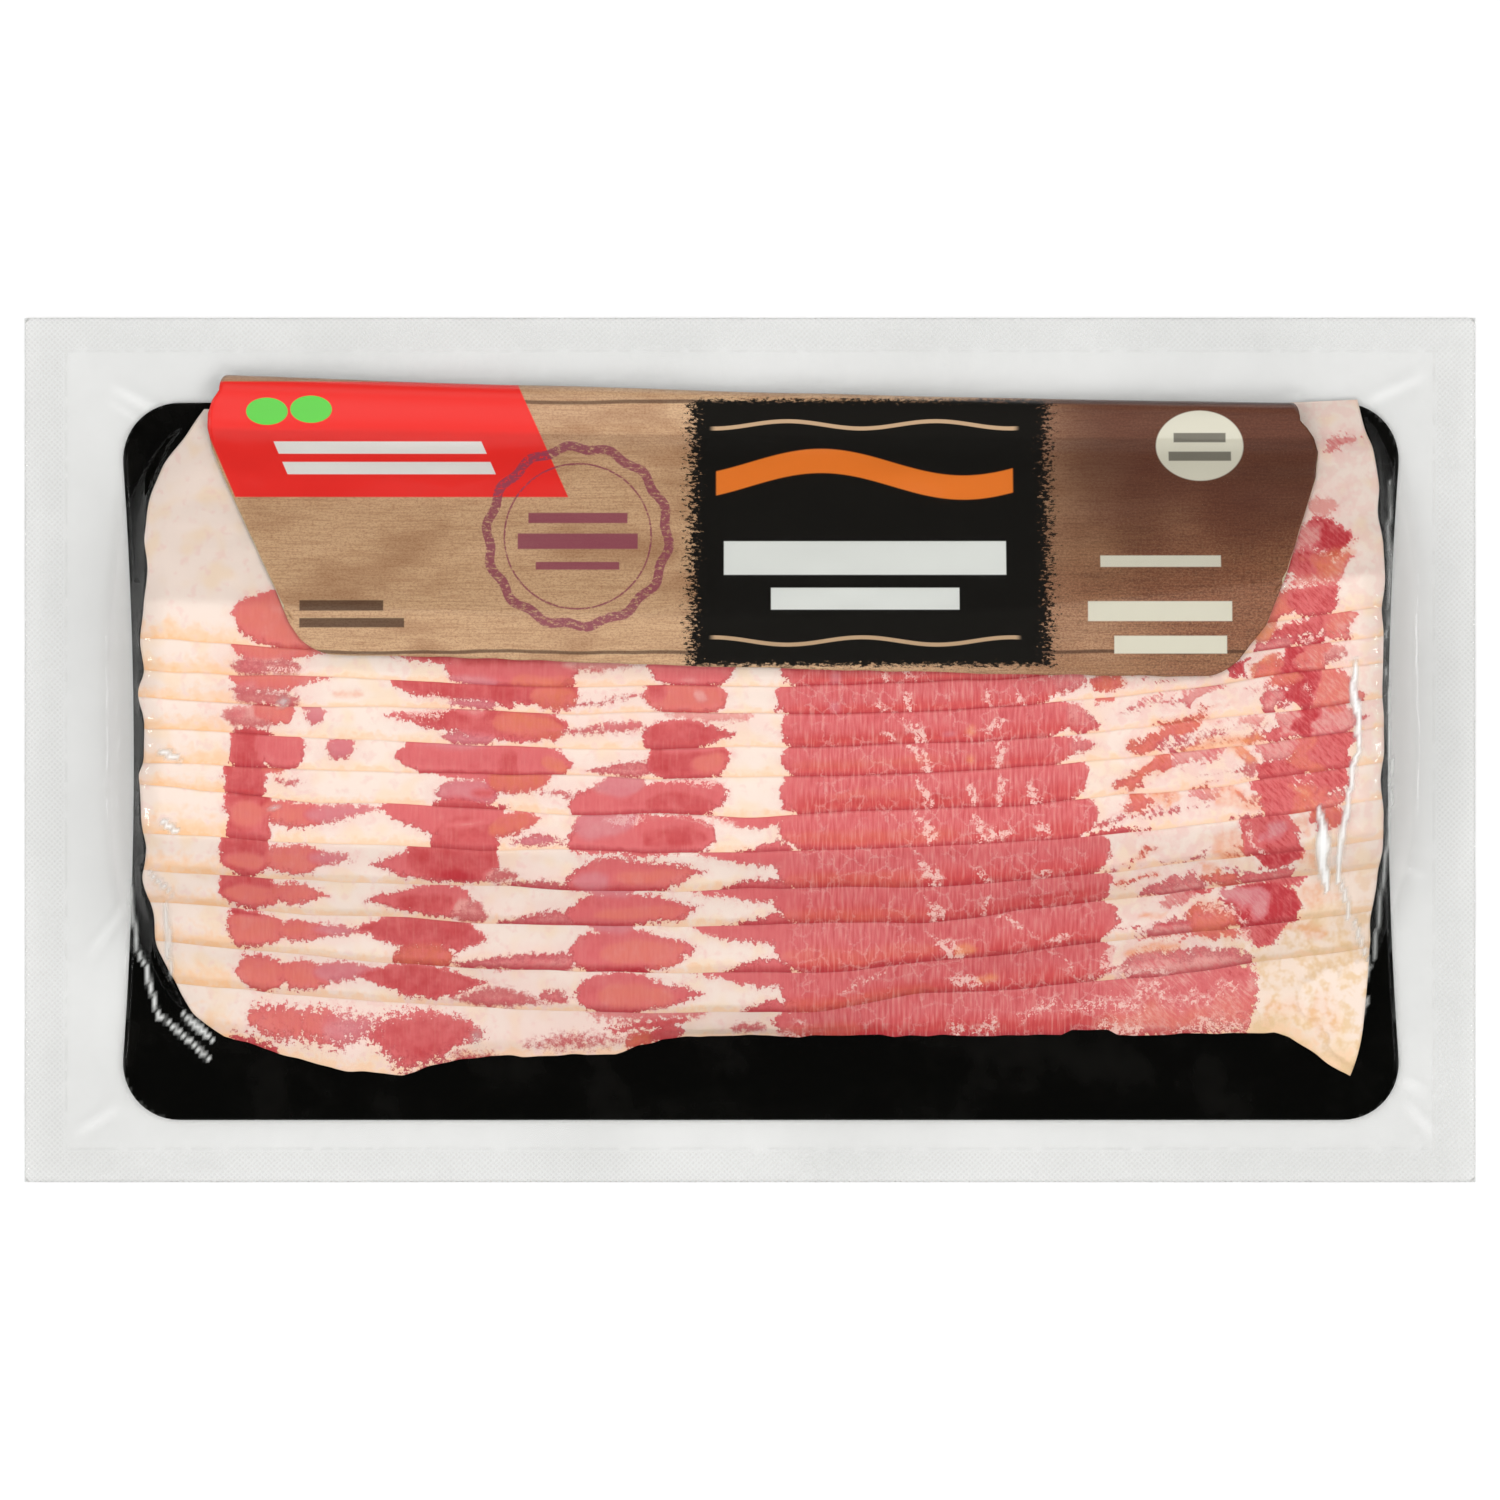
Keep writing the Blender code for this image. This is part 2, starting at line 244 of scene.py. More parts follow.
class Nodes:
    """The node tree of one material."""

    def __init__(self, name: str) -> None:
        """Makes an empty material of that name."""
        self.material = bpy.data.materials.new(name)
        self.material.use_nodes = True
        self.tree = self.material.node_tree
        self.tree.nodes.clear()

    def add(self, kind: str, settings: dict[str, Any], values: dict[Any, Any], output: Any = 0) -> Signal:
        """Adds a node.

        Args:
            kind: the node's type.
            settings: its properties, set before its sockets.
            values: a number, a colour or a signal for each of its sockets, by name or number.
            output: the output that is returned, by name or number.

        Returns:
            The signal of that output.
        """
        node = self.tree.nodes.new(kind)
        for name, setting in settings.items():
            setattr(node, name, setting)
        for socket, value in values.items():
            if isinstance(value, Signal):
                self.tree.links.new(value.socket, node.inputs[socket])
            else:
                node.inputs[socket].default_value = value
        return Signal(self, node.outputs[output])

    def place(self) -> tuple[Signal, Signal, Signal]:
        """X, Y and Z of a surface point, in millimetres."""
        point = self.add("ShaderNodeTexCoord", {}, {}, "Object")
        axes = (self.add("ShaderNodeSeparateXYZ", {}, {0: point}, axis) for axis in "XYZ")
        return tuple(axis * (1 / MM) for axis in axes)

    def point(self, x: Any, y: Any, z: Any = 0.0) -> Signal:
        """A vector of three signals or numbers."""
        return self.add("ShaderNodeCombineXYZ", {}, {0: x, 1: y, 2: z})

    def noise(self, where: Signal, scale: float = 1.0, detail: float = 2.0, rough: float = 0.5) -> Signal:
        """Noise from 0 to 1 over X and Y alone, which is half the work of noise in space."""
        values = {"Vector": where, "Scale": scale, "Detail": detail, "Roughness": rough}
        return self.add("ShaderNodeTexNoise", {"noise_dimensions": "2D"}, values)

    def cracks(self, where: Signal, scale: float) -> Signal:
        """Distance to the nearest border of a net of cells."""
        settings = {"feature": "DISTANCE_TO_EDGE", "voronoi_dimensions": "2D"}
        return self.add("ShaderNodeTexVoronoi", settings, {"Vector": where, "Scale": scale}, "Distance")

    def attribute(self, name: str) -> Signal:
        """A number stored on the piece."""
        return self.add("ShaderNodeAttribute", {"attribute_name": name}, {}, "Fac")

    def mix(self, share: Any, first: Any, second: Any, blend: str = "MIX") -> Signal:
        """A blend of two colours, each a signal or a linear colour."""
        first, second = (c if isinstance(c, Signal) else (*c, 1.0) for c in (first, second))
        settings = {"data_type": "RGBA", "blend_type": blend}
        return self.add("ShaderNodeMix", settings, {0: share, 6: first, 7: second}, 2)

    def layered(self, ground: Any, layers: list[tuple[Any, Any]]) -> Signal:
        """A colour with others laid over it in turn, each with its share."""
        for share, colour in layers:
            ground = self.mix(share, ground, colour)
        return ground

    def bump(self, height: Signal, depth_mm: float, strength: float = 1.0) -> Signal:
        """A normal from a height that runs over depth_mm."""
        return self.add("ShaderNodeBump", {}, {"Strength": strength, "Distance": depth_mm * MM, "Height": height})

    def principled(self, values: dict[str, Any]) -> Signal:
        """A Principled shader."""
        return self.add("ShaderNodeBsdfPrincipled", {}, values)

    def finish(self, surface: Signal) -> bpy.types.Material:
        """Joins a shader to the material's output."""
        self.add_output(surface)
        return self.material

    def add_output(self, surface: Signal) -> None:
        """Adds the output node."""
        node = self.tree.nodes.new("ShaderNodeOutputMaterial")
        self.tree.links.new(surface.socket, node.inputs["Surface"])


@dataclass(frozen=True)
class RowSheet:
    """The warped sheet of rows that slices, flap and upper web share, as in the CAD part."""

    gap: float = 0.06
    card_top: float = 1.2
    left_end: float = -116.5
    right_end: float = 121.0
    left_rounding: float = 11.0
    right_rounding: float = 4.0
    rounding_power: float = 5.0
    edges: tuple[float, ...] = (-55.4, -50.7, -42.9, -33.7, -26.8, -19.5, -12.5, -5.2, 0.3, 6.9, 12.0, 17.4)
    hidden_pitch: float = 7.9
    corner_rounding: float = 3.5
    sag_centre: float = -5.0
    rise: float = 3.0
    left_span: float = 101.0
    right_span: float = 69.0
    last_rise: float = 0.3
    overlap: int = 6
    thickness: float = 4.12
    nose: float = 0.16
    tail: float = 0.0
    end: float = 0.90
    end_run: float = 0.022
    left_lift: tuple[float, ...] = (0, 1.8, 1.8, 1.3, 1, 1, 1.6, 0.8, 1.1, 0.85, 0.95, 1.1)
    foot_line: tuple[tuple[float, float], ...] = (
        (-118, 3.0), (-108, 1.0), (-101, 0.0), (-97, -1.0), (-91, -3.0), (-80, -6.2), (-67, -7.2), (-59, -5.0),
        (-50, -3.8), (-26, -3.2), (-17, -0.4), (-8, 0.2), (60, 0.3), (62, 1.4), (69, 1.4), (71, 0.2), (101, 1.0),
        (104, 0.0), (109, -3.2), (114, -6.6), (118, -8.6), (122, -9.2),
    )
    lower_steps: tuple[tuple[int, float, float, float], ...] = ((1, 5.0, 35.0, 3.0), (2, 5.0, 70.0, 2.6), (3, 40.0, 70.0, 1.4))

    @property
    def count(self) -> int:
        """Number of slices."""
        return len(self.edges)

    @property
    def last_row(self) -> int:
        """The row of the topmost slice's hidden edge."""
        return self.count - 1 + self.overlap

    def edge(self, row: Array) -> Array:
        """Y of a row's line at the middle: between the measured edges, then at an even pitch."""
        top = self.count - 1
        past = np.maximum(row - top, 0.0) * self.hidden_pitch
        return np.interp(row, np.arange(self.count), self.edges) + past

    def climb(self, x: Array, row: Array) -> Array:
        """How far a row's line has climbed at x: a parabola each side of the sag's centre."""
        left = self.rise * ((x - self.sag_centre) / self.left_span) ** 2
        left = left * np.interp(row, np.arange(self.count), self.left_lift)
        right = self.rise * ((x - self.sag_centre) / self.right_span) ** 2 * np.clip(row, 0.0, 1.0)
        past = np.clip((row - self.count + 1) / self.overlap, 0.0, 1.0)
        rise = np.where(x < self.sag_centre, left, right) * (1 - past * (1 - self.last_rise))
        for step, start, stop, height in self.lower_steps:
            rise = rise + height * smooth(start, stop, x) * np.clip(1 - np.abs(row - step), 0.0, 1.0)
        wander = Lattice(11)(x / 17 + 3, row * 1.3) * 0.45 + Lattice(12)(x / 6.5, row * 2.1) * 0.16
        return rise + wander * np.clip(row, 0.0, 1.0) * np.clip(self.last_row - row, 0.0, 1.0)

    def droop(self, x: Array, row: Array) -> Array:
        """How far the lowest slice's exposed edge hangs below the first row's line at x."""
        stations, drops = np.array(self.foot_line).T
        ragged = Lattice(13)(x / 3.1, x * 0 + 0.5) * 0.35
        return (np.interp(x, stations, drops) + ragged) * np.clip(1 - row, 0.0, 1.0)

    def ends(self, row: Array) -> tuple[Array, Array]:
        """X of the stack's left and right ends at a row, drawn in towards its first and last."""
        bow = np.abs(2 * row / self.last_row - 1) ** self.rounding_power
        corner = self.corner_rounding * np.clip(1 - row / 0.45, 0.0, 1.0) ** 2
        left = self.left_end + self.left_rounding * bow + corner + 0.9 * Lattice(14)(row * 1.1, row * 0)
        right = self.right_end - self.right_rounding * bow - corner * 0.4 + 0.5 * Lattice(15)(row * 1.1, row * 0)
        return left, right

    def place(self, s: Array, row: Array) -> tuple[Array, Array]:
        """X and Y of points of the sheet."""
        left, right = self.ends(row)
        x = left + s * (right - left)
        return x, self.edge(row) + self.climb(x, row) + self.droop(x, row)

    def find(self, x: Array, y: Array) -> tuple[Array, Array]:
        """S and row of points given by X and Y, found by putting the climb right eight times."""
        rows = np.linspace(0.0, self.last_row, 20 * self.last_row)
        row = np.interp(y, self.edge(rows), rows)
        for _ in range(8):
            flat = y - self.climb(x, row) - self.droop(x, row)
            row = 0.5 * row + 0.5 * np.interp(flat, self.edge(rows), rows)
        left, right = self.ends(row)
        return (x - left) / (right - left), row

    def slice_thickness(self, index: Array, s: Array, row: Array) -> Array:
        """Thickness of a slice, less towards its two long edges and its two ends."""
        near = self.nose + (1 - self.nose) * np.minimum(1.0, row - index)
        far = self.tail + (1 - self.tail) * np.minimum(1.0, index + self.overlap - row)
        inward = np.clip(np.minimum(s, 1 - s) / self.end_run, 0.0, 1.0)
        end = self.end + (1 - self.end) * np.sin(inward * math.pi / 2)
        return self.thickness * np.minimum(near, far) * end

    def pile(self, count: int, s: Array, row: Array) -> Array:
        """Height of the pile of the first count slices: each adds a gap and its thickness."""
        height = np.full(np.shape(row), self.card_top)
        for index in range(count):
            present = (row >= index) & (row <= index + self.overlap)
            height = height + np.where(present, self.gap + self.slice_thickness(index, s, row), 0.0)
        return height

    def cover(self, s: Array, row: Array) -> Array:
        """Height of the whole pile as a sheet over it takes it, straight from line to line.

        The lines lie at each row and half of the way to the next one.
        """
        lines = np.sort(np.concatenate([np.arange(self.last_row + 1.0), np.arange(self.last_row) + 0.5]))
        s, row = np.clip(s, 0.0, 1.0), np.clip(row, 0.0, self.last_row)
        upper = np.clip(np.searchsorted(lines, row, side="left"), 1, len(lines) - 1)
        start, stop = lines[upper - 1], lines[upper]
        share = (row - start) / (stop - start)
        low, high = self.pile(self.count, s, start), self.pile(self.count, s, stop)
        return low + share * (high - low)

    def taut(self, s: Array, row: Array) -> Array:
        """Height of the pile as the stiff flap takes it, straight from one row to the next."""
        s, row = np.clip(s, 0.0, 1.0), np.clip(row, self.count - 1.0, self.last_row)
        start = np.minimum(np.floor(row), self.last_row - 1.0)
        low, high = self.pile(self.count, s, start), self.pile(self.count, s, start + 1)
        return low + (row - start) * (high - low)


class Meat(Enum):
    """What a streak is made of: tone from pale to deep, warmth from lilac to orange, and how
    firm its border is."""

    LEAN = (0.52, 0.0, 1.0)
    RED = (0.76, 0.04, 1.0)
    DEEP = (1.0, 0.0, 0.9)
    ROSE = (0.28, -0.10, 0.45)
    PALE = (0.04, 0.0, 0.28)
    LILAC = (0.34, -0.60, 0.55)
    SALMON = (0.46, 0.20, 1.0)
    RUST = (0.68, 0.42, 0.6)
    ORANGE = (0.20, 0.95, 0.35)
    FAT = (0.0, 0.0, 1.0)
    VEIN = (0.0, 0.0, 1.0)
    AMBER = (0.0, 0.60, 1.0)


class Tip(Enum):
    """Which ends of a streak run out to a point."""

    ROUND = (False, False)
    LEFT = (True, False)
    RIGHT = (False, True)
    BOTH = (True, True)


@dataclass(frozen=True)
class Streak:
    """A streak of lean, fat or stain in the exposed strip of a slice.

    Attributes:
        meat: what it is made of.
        start: X of its left end.
        stop: X of its right end.
        low: its lower side at its middle, as a share of the strip from its edge up.
        high: its upper side.
        tilt: how much higher its right end lies than its left.
        tip: which of its ends are pointed.
    """

    meat: Meat
    start: float
    stop: float
    low: float
    high: float
    tilt: float = 0.0
    tip: Tip = Tip.ROUND

    def inside(self, x: Array, v: Array, pitch: float) -> Array:
        """Millimetres inside the streak, or outside it where negative.

        Its half height is a plateau that falls off as a quarter ellipse to a round end and as
        a gentle ramp to a pointed one, and its middle line is straight.
        """
        length = self.stop - self.start
        u = np.clip((x - self.start) / length, 0.0, 1.0)
        half = (self.high - self.low) / 2 * pitch
        round_run = min(0.5, 1.6 * half / length + 0.12)
        profile = np.ones_like(x)
        for share, pointed in ((u, self.tip.value[0]), (1 - u, self.tip.value[1])):
            near = np.clip(share / (0.75 if pointed else round_run), 0.0, 1.0)
            profile = profile * (np.sin(near * math.pi / 2) ** 0.9 if pointed else (1 - (1 - near) ** 2.6) ** 0.55)
        middle = (self.low + self.high) / 2 + self.tilt * (u - 0.5)
        outside = np.maximum(self.start - x, x - self.stop)
        return np.minimum(half * profile - np.abs(v - middle) * pitch, -outside + 0.01)


LEAN, RED, DEEP, ROSE = Meat.LEAN, Meat.RED, Meat.DEEP, Meat.ROSE
PALE, LILAC, SALMON, RUST = Meat.PALE, Meat.LILAC, Meat.SALMON, Meat.RUST
ORANGE, FAT, VEIN, AMBER = Meat.ORANGE, Meat.FAT, Meat.VEIN, Meat.AMBER

# The streaks of each slice's exposed strip, from the lowest slice to the topmost
STREAKS = (
    (
        Streak(RED, -100.0, -91.0, -0.25, 0.12),
        Streak(SALMON, -96.5, -86.0, 0.22, 0.84),
        Streak(DEEP, -95.0, -88.5, 0.74, 0.86, 0.0, Tip.BOTH),
        Streak(SALMON, -87.5, -77.5, 0.26, 0.82),
        Streak(LILAC, -82.0, -70.5, 0.36, 0.80, 0.15, Tip.RIGHT),
        Streak(RED, -75.0, -50.0, -0.08, 1.04, 0.0, Tip.BOTH),
        Streak(LILAC, -66.0, -56.0, -0.3, 0.06),
        Streak(PALE, -58.0, -48.0, -0.3, 0.10),
        Streak(PALE, -44.0, -22.0, 0.12, 0.50, 0.1, Tip.BOTH),
        Streak(ROSE, -31.5, -8.0, 0.78, 1.4),
        Streak(RED, -28.0, -12.0, 0.46, 0.84, 0.1, Tip.LEFT),
        Streak(RUST, -24.0, -18.0, -0.1, 0.50),
        Streak(RED, -19.5, -12.6, -0.1, 0.62),
        Streak(PALE, -4.0, 3.5, 0.1, 0.5),
        Streak(LEAN, 4.6, 96.5, -0.3, 1.5),
        Streak(SALMON, 5.0, 22.0, -0.2, 0.50),
        Streak(DEEP, 20.0, 27.0, -0.2, 0.32, 0.0, Tip.BOTH),
        Streak(FAT, 0.0, 11.5, -0.1, 0.20, 0.0, Tip.RIGHT),
        Streak(VEIN, 9.2, 10.4, 0.3, 0.80, 0.0, Tip.RIGHT),
        Streak(VEIN, 38.5, 41.5, 0.05, 0.26, -0.1),
        Streak(VEIN, 43.5, 47.8, 0.08, 0.36, 0.2, Tip.LEFT),
        Streak(VEIN, 52.0, 60.0, 0.5, 0.60, 0.35, Tip.BOTH),
        Streak(SALMON, 66.0, 96.5, -0.1, 0.50, 0.1),
        Streak(FAT, 60.0, 82.0, 0.48, 0.66, 0.14, Tip.BOTH),
        Streak(VEIN, 76.0, 92.0, 0.60, 0.72, -0.2, Tip.BOTH),
        Streak(FAT, 67.0, 76.0, -0.2, 0.22, 0.1),
        Streak(VEIN, 81.0, 95.0, 0.02, 0.18, 0.12, Tip.BOTH),
        Streak(RED, 87.0, 96.5, 0.66, 0.92, 0.0, Tip.BOTH),
        Streak(AMBER, 99.0, 106.0, 0.16, 0.40),
        Streak(AMBER, 105.0, 114.0, 0.30, 0.50),
    ),
    (
        Streak(SALMON, -98.8, -89.5, 0.02, 0.90),
        Streak(DEEP, -98.0, -91.5, 0.80, 0.94, 0.0, Tip.BOTH),
        Streak(SALMON, -91.0, -80.5, 0.12, 0.84),
        Streak(LILAC, -84.0, -70.0, 0.46, 0.96, 0.25, Tip.RIGHT),
        Streak(RED, -76.0, -50.5, 0.04, 1.20, 0.0, Tip.BOTH),
        Streak(PALE, -58.0, -40.0, -0.1, 0.60, 0.05, Tip.BOTH),
        Streak(ROSE, -57.0, -39.0, 0.04, 0.36, 0.05, Tip.BOTH),
        Streak(ROSE, -41.0, -34.5, 0.24, 0.54),
        Streak(ROSE, -53.0, -42.0, 0.90, 1.3, 0.0, Tip.BOTH),
        Streak(LEAN, -34.0, -8.5, -0.05, 1.02, 0.0, Tip.RIGHT),
        Streak(SALMON, -30.0, -14.0, 0.10, 0.80),
        Streak(FAT, -20.5, -12.5, -0.05, 0.12, 0.05, Tip.BOTH),
        Streak(DEEP, -19.5, -13.0, -0.3, -0.02),
        Streak(LEAN, 5.6, 70.5, -0.3, 1.5),
        Streak(LEAN, -12.0, 8.5, 0.60, 1.5, -0.1, Tip.LEFT),
        Streak(LEAN, -4.0, 8.5, -0.5, 0.30, 0.0, Tip.LEFT),
        Streak(SALMON, 6.0, 36.0, -0.1, 0.34),
        Streak(VEIN, 38.5, 44.5, 0.14, 0.48, -0.2),
        Streak(ORANGE, 43.5, 47.5, 0.2, 0.42),
        Streak(VEIN, 58.0, 64.0, 0.4, 0.52, -0.9, Tip.BOTH),
        Streak(VEIN, 17.0, 26.0, 0.58, 0.68, 0.3, Tip.BOTH),
        Streak(ROSE, 70.0, 96.8, -0.4, 0.64),
        Streak(LEAN, 60.0, 72.0, 0.02, 0.44, 0.0, Tip.RIGHT),
        Streak(FAT, 66.0, 80.0, 0.02, 0.18, -0.1, Tip.BOTH),
        Streak(FAT, 67.5, 76.0, 0.34, 1.1, 0.4),
        Streak(ORANGE, 72.0, 83.0, 0.40, 0.74, 0.10),
        Streak(SALMON, 74.0, 90.0, 0.74, 1.3),
        Streak(RUST, 85.0, 97.0, 0.60, 1.4, -0.4, Tip.RIGHT),
        Streak(RED, 95.0, 106.0, 0.64, 1.5, 0.2),
        Streak(FAT, 93.0, 97.0, 0.62, 1.2, -0.6, Tip.BOTH),
        Streak(AMBER, 103.0, 112.0, 0.55, 0.85),
    ),
    (
        Streak(SALMON, -100.8, -89.8, 0.08, 0.98),
        Streak(DEEP, -100.5, -92.0, 0.76, 0.98, 0.0, Tip.RIGHT),
        Streak(SALMON, -91.5, -78.5, 0.30, 0.84, 0.15, Tip.RIGHT),
        Streak(LILAC, -84.0, -74.5, 0.52, 0.80, 0.1, Tip.RIGHT),
        Streak(RED, -76.2, -50.0, 0.22, 1.25, 0.0, Tip.BOTH),
        Streak(RUST, -68.5, -57.0, -0.05, 0.46),
        Streak(RED, -61.0, -50.5, 0.30, 1.1, 0.0, Tip.RIGHT),
        Streak(ROSE, -59.0, -33.0, -0.12, 0.36, 0.15, Tip.LEFT),
        Streak(LEAN, -34.5, -9.2, -0.1, 0.96, 0.15, Tip.RIGHT),
        Streak(SALMON, -29.0, -12.0, 0.10, 0.70, 0.1),
        Streak(LILAC, -31.5, -21.0, 0.78, 1.3, 0.0, Tip.LEFT),
        Streak(DEEP, -30.0, -14.0, -0.3, 0.04),
        Streak(LEAN, 4.4, 71.0, -0.3, 1.5),
        Streak(LEAN, -13.0, 8.5, 0.60, 1.5, -0.1, Tip.LEFT),
        Streak(LEAN, -7.0, 8.5, -0.5, 0.30, 0.0, Tip.LEFT),
        Streak(SALMON, 6.0, 36.0, 0.1, 0.50),
        Streak(VEIN, 33.6, 36.5, 0.55, 0.70, -0.45, Tip.LEFT),
        Streak(VEIN, 35.4, 41.2, 0.10, 0.50, -0.3),
        Streak(ORANGE, 39.0, 43.0, 0.12, 0.44),
        Streak(VEIN, 57.0, 61.5, 0.10, 0.30, 0.1),
        Streak(VEIN, 48.0, 55.0, 0.60, 0.70, -0.5, Tip.BOTH),
        Streak(ROSE, 73.0, 92.0, -0.4, 0.50, 0.1),
        Streak(ROSE, 76.0, 89.5, 0.52, 1.4, 0.2, Tip.LEFT),
        Streak(RED, 68.0, 84.0, 0.16, 0.32, 0.1, Tip.BOTH),
        Streak(ORANGE, 73.5, 80.5, 0.44, 0.64),
        Streak(RUST, 84.5, 97.0, -0.2, 0.62, -0.3, Tip.RIGHT),
        Streak(RED, 83.0, 94.0, 0.66, 1.3, 0.1, Tip.BOTH),
        Streak(DEEP, 91.5, 105.5, -0.3, 1.0, -0.35),
        Streak(LILAC, 91.0, 100.0, 0.30, 0.9, -0.4),
        Streak(FAT, 88.5, 99.0, 0.10, 0.26, -0.7, Tip.BOTH),
        Streak(FAT, 81.0, 86.0, 0.44, 0.66, 0.1, Tip.BOTH),
        Streak(RED, 98.0, 106.0, 0.80, 1.4),
        Streak(AMBER, 104.0, 112.0, 0.3, 0.9),
    ),
    (
        Streak(RED, -101.8, -91.0, 0.04, 1.5),
        Streak(SALMON, -100.5, -89.5, 0.16, 0.72),
        Streak(SALMON, -92.0, -80.8, 0.26, 0.92, 0.0, Tip.RIGHT),
        Streak(LEAN, -73.5, -53.0, 0.08, 1.02, 0.1, Tip.LEFT),
        Streak(RED, -68.0, -56.0, 0.14, 0.80),
        Streak(PALE, -57.0, -50.5, 0.0, 0.6),
        Streak(ROSE, -49.5, -33.0, -0.15, 0.36, 0.15, Tip.LEFT),
        Streak(LEAN, -35.0, -9.2, -0.1, 1.02, 0.20, Tip.RIGHT),
        Streak(SALMON, -30.0, -11.0, 0.14, 0.62, 0.1),
        Streak(LILAC, -34.0, -21.5, 0.80, 1.3, 0.1, Tip.LEFT),
        Streak(LEAN, 4.4, 69.8, -0.3, 1.5),
        Streak(LEAN, -14.0, 8.5, 0.62, 1.5, -0.1, Tip.LEFT),
        Streak(LEAN, -6.0, 8.5, -0.5, 0.28, 0.0, Tip.LEFT),
        Streak(SALMON, 6.0, 34.0, 0.0, 0.42),
        Streak(VEIN, 32.4, 35.0, 0.55, 0.75, -0.5, Tip.LEFT),
        Streak(VEIN, 34.0, 37.6, 0.04, 0.52),
        Streak(VEIN, 44.6, 46.2, 0.12, 0.60, 0.3),
        Streak(RED, 52.0, 69.8, 0.25, 0.55),
        Streak(ROSE, 72.5, 89.0, -0.4, 0.70, 0.25, Tip.LEFT),
        Streak(FAT, 69.0, 78.0, 0.72, 1.3, 0.2),
        Streak(RUST, 70.5, 79.0, 0.38, 0.74, 0.1),
        Streak(DEEP, 97.5, 106.5, 0.42, 1.5, -0.1),
        Streak(RUST, 86.0, 95.5, -0.2, 0.72, -0.7, Tip.LEFT),
        Streak(ORANGE, 86.5, 92.5, 0.45, 1.0, -0.5, Tip.BOTH),
        Streak(LEAN, 94.0, 105.5, -0.4, 0.42, -0.1),
        Streak(LILAC, 90.5, 97.5, 0.30, 0.70, -0.5, Tip.BOTH),
        Streak(AMBER, 105.0, 109.0, 0.1, 0.9),
        Streak(AMBER, 87.5, 91.0, 0.5, 0.95),
    ),
    (
        Streak(RED, -101.4, -91.4, -0.02, 1.5),
        Streak(SALMON, -100.5, -92.6, 0.20, 0.70),
        Streak(SALMON, -93.0, -81.4, 0.18, 0.98),
        Streak(LILAC, -84.5, -75.5, 0.44, 0.78, 0.0, Tip.RIGHT),
        Streak(LEAN, -72.0, -58.0, 0.14, 0.94, 0.0, Tip.LEFT),
        Streak(RED, -66.0, -48.0, 0.02, 1.5),
        Streak(DEEP, -59.0, -52.5, 0.04, 0.48),
        Streak(PALE, -51.0, -44.0, 0.1, 0.5, 0.0, Tip.RIGHT),
        Streak(ROSE, -49.0, -33.5, -0.2, 0.20, 0.0, Tip.LEFT),
        Streak(LEAN, -35.0, -8.6, -0.2, 0.90, 0.30, Tip.RIGHT),
        Streak(LILAC, -34.0, -27.0, 0.0, 0.5),
        Streak(RED, -35.0, -12.0, 0.90, 1.5),
        Streak(SALMON, -26.0, -11.0, 0.15, 0.6, 0.1),
        Streak(LEAN, 4.6, 68.6, -0.3, 1.5),
        Streak(LEAN, -14.0, 8.5, 0.64, 1.5, -0.1, Tip.LEFT),
        Streak(LEAN, -7.0, 8.5, -0.5, 0.28, 0.0, Tip.LEFT),
        Streak(SALMON, 6.0, 34.0, 0.0, 0.45),
        Streak(VEIN, 31.4, 33.6, 0.55, 0.82, -0.5, Tip.LEFT),
        Streak(VEIN, 33.0, 36.6, 0.02, 0.48, -0.1),
        Streak(VEIN, 42.6, 45.6, 0.10, 0.40, -0.4, Tip.BOTH),
        Streak(VEIN, 55.2, 57.8, 0.06, 0.20),
        Streak(ROSE, 66.0, 76.0, -0.3, 0.18, 0.0, Tip.RIGHT),
        Streak(RUST, 70.5, 79.5, 0.12, 0.66, 0.40, Tip.BOTH),
        Streak(ROSE, 78.0, 90.5, -0.05, 0.50, 0.35, Tip.BOTH),
        Streak(ROSE, 71.0, 84.0, 0.78, 1.3, 0.2, Tip.BOTH),
        Streak(ORANGE, 88.0, 94.5, -0.1, 0.36, -0.3, Tip.LEFT),
        Streak(RED, 92.0, 105.0, -0.3, 1.5, -0.6),
        Streak(LILAC, 98.5, 103.0, 0.4, 0.9),
        Streak(FAT, 92.5, 99.0, 0.20, 0.60, -1.0, Tip.BOTH),
        Streak(AMBER, 88.0, 94.5, 0.1, 0.6, -0.5),
        Streak(AMBER, 104.5, 108.0, 0.2, 0.9),
        Streak(RUST, 108.0, 113.5, 0.5, 1.2),
    ),
    (
        Streak(RED, -100.2, -91.2, -0.3, 1.5),
        Streak(SALMON, -100.0, -92.4, 0.24, 0.86),
        Streak(SALMON, -93.0, -81.0, 0.32, 1.00),
        Streak(LILAC, -85.0, -70.5, 0.52, 0.98, 0.22, Tip.RIGHT),
        Streak(LEAN, -71.8, -46.5, 0.20, 1.5, 0.0, Tip.LEFT),
        Streak(RED, -61.0, -47.5, -0.3, 0.90),
        Streak(RUST, -49.5, -40.5, 0.36, 0.98, 0.25),
        Streak(PALE, -58.0, -50.0, 0.60, 0.78, 0.1, Tip.BOTH),
        Streak(LILAC, -46.0, -35.0, 0.0, 0.40, 0.0, Tip.BOTH),
        Streak(LEAN, -35.0, -6.0, -0.2, 0.96, 0.30),
        Streak(LILAC, -34.0, -21.0, 0.30, 1.3, 0.4),
        Streak(FAT, -27.2, -20.8, 0.70, 1.0),
        Streak(RED, -21.0, -8.0, 0.10, 0.72),
        Streak(FAT, -16.0, -3.0, 0.84, 1.04, -0.2, Tip.LEFT),
        Streak(LEAN, 5.5, 66.5, -0.3, 1.5),
        Streak(LEAN, -12.0, 8.5, 0.70, 1.5, -0.1, Tip.LEFT),
